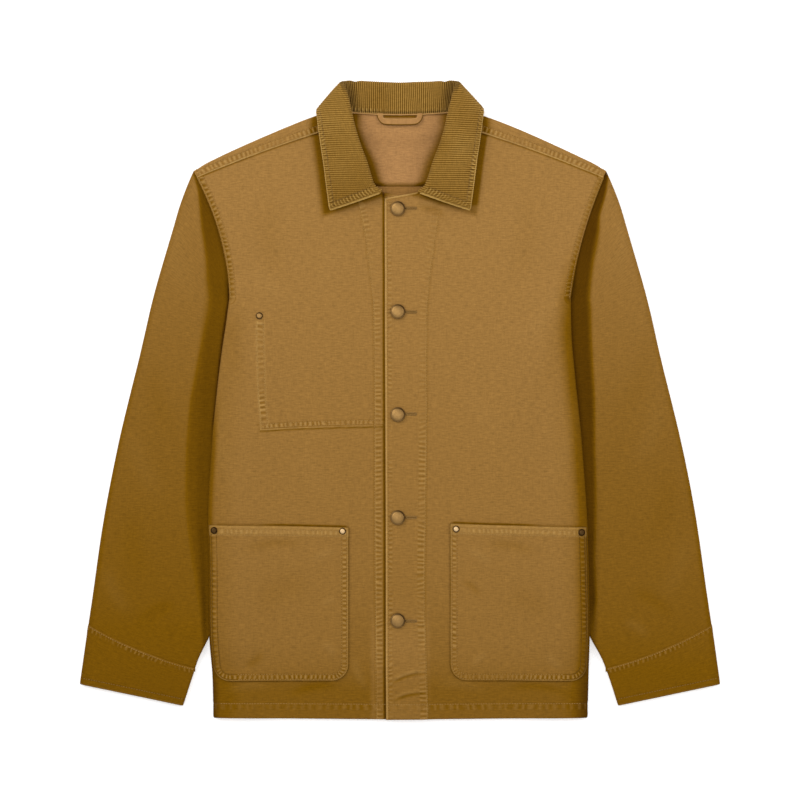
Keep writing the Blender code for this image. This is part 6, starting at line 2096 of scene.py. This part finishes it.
for side in (LEFT, RIGHT):
    name = SIDE_NAMES[side]
    place_piece(fronts[side], "canvas", f"front_{name}", *(["chest_pocket"] if side == RIGHT else []))
    place_piece(sleeves[side], "canvas", f"sleeve_{name}")
    place_piece(cuffs[side], "canvas", f"cuff_{name}")
    place_piece(pockets[side], "canvas", f"pocket_{name}")
    place_piece(side_layers[side], "canvas", f"side_turn_{name}")
place_piece(yoke_cloth, "canvas", "back_yoke")
place_piece(back_cloth, "canvas", "back")
place_piece(collar, "corduroy", "collar")
place_piece(hanger_band, "canvas_inside", "hanger_loop")
place_piece(binding, "canvas_inside")
place_piece(buttonholes, "canvas")
for index, made in enumerate(buttons):
    place_piece(made, "antique_brass", f"button_{index + 1}")
for made, row in zip(rivets, RIVETS):
    place_piece(made, "antique_brass", row[0])
for made in stitching:
    place_piece(made, "canvas")

CUT = {
    # width, length and area of each cut, in metres and square metres
    "front_left_cloth": (0.3, 0.705, 0.168),
    "front_right_cloth": (0.3, 0.705, 0.168),
    "sleeve_left_cloth": (0.4, 0.52, 0.155),
    "sleeve_right_cloth": (0.4, 0.52, 0.155),
    "cuff_left_cloth": (0.275, 0.085, 0.017),
    "cuff_right_cloth": (0.275, 0.085, 0.017),
    "pocket_left_cloth": (0.172, 0.185, 0.03),
    "pocket_right_cloth": (0.172, 0.185, 0.03),
    "side_layer_left": (0.065, 0.445, None),
    "side_layer_right": (0.065, 0.445, None),
    "yoke_cloth": (0.51, 0.125, 0.05),
    "back_cloth": (0.47, 0.64, 0.245),
    "collar_corduroy": (0.43, 0.105, 0.04),
}
for name, (width, length, area) in CUT.items():
    made = bpy.data.objects[name]
    print(f"{name}: measured {SHEETS[name]:.4f} m2, cut {area or width * length:.4f} m2")

# %% [markdown]
# ## Floor, light and camera
# The jacket lies on a pale floor under soft studio light, seen straight from above with a long lens, so its
# edges stay parallel. Two large area lights stand on opposite sides, the upper left one stronger, which
# draws a soft shadow beside each raised edge. A pale world fills in the rest.

# %% Stage
def make_floor():
    mesh = bpy.data.meshes.new("floor")
    size = 4
    level = -0.0001  # just under the cloth, so that the two are not in one plane
    corners = [(-size, -size, level), (size, -size, level), (size, size, level), (-size, size, level)]
    mesh.from_pydata(corners, [], [(0, 1, 2, 3)])
    finish, _, shader = new_material("pale_floor")
    feed(shader, {"Base Color": (0.95, 0.95, 0.95, 1), "Roughness": 0.9, "Specular IOR Level": 0})
    feed(shader, {"Emission Color": (1, 1, 1, 1), "Emission Strength": 0.3})
    mesh.materials.append(finish)
    floor = add_object("floor", mesh)
    return floor


def add_light(name, place, target, size, power, colour=(1.0, 1.0, 1.0)):
    data = bpy.data.lights.new(name, "AREA")
    data.shape, data.energy, data.color = "RECTANGLE", power, colour
    data.size, data.size_y = size
    light = add_object(name, data)
    light.location = place
    ahead = mathutils.Vector(np.subtract(target, place))
    light.rotation_euler = ahead.to_track_quat("-Z", "Y").to_euler()
    return light


make_floor()
world = bpy.data.worlds.new("studio")
world.use_nodes = True
world.node_tree.nodes["Background"].inputs[0].default_value = (1, 1, 1, 1)
world.node_tree.nodes["Background"].inputs[1].default_value = 0.62
bpy.context.scene.world = world
add_light("upper_left", (-1.5, 1.1, 1.5), (0, 0.05, 0), (1.2, 1.2), 20)
add_light("right", (1.6, 0.5, 1.3), (0, 0, 0), (1.2, 1.2), 11)
add_light("overhead", (0, 0.35, 2.6), (0, 0.1, 0), (1, 1), 12)
bpy.context.scene.view_settings.view_transform = "Standard"

camera_data = bpy.data.cameras.new("camera")
camera_data.lens = 85
camera_data.sensor_width = 36
FRAME_WIDTH = 0.952
JACKET_LEVEL = 0.008
camera = add_object("camera", camera_data)
camera.location = (0, 0, JACKET_LEVEL + FRAME_WIDTH * camera_data.lens / camera_data.sensor_width)
bpy.context.scene.camera = camera
print("camera at", [round(value, 3) for value in camera.location])

# %% Finish
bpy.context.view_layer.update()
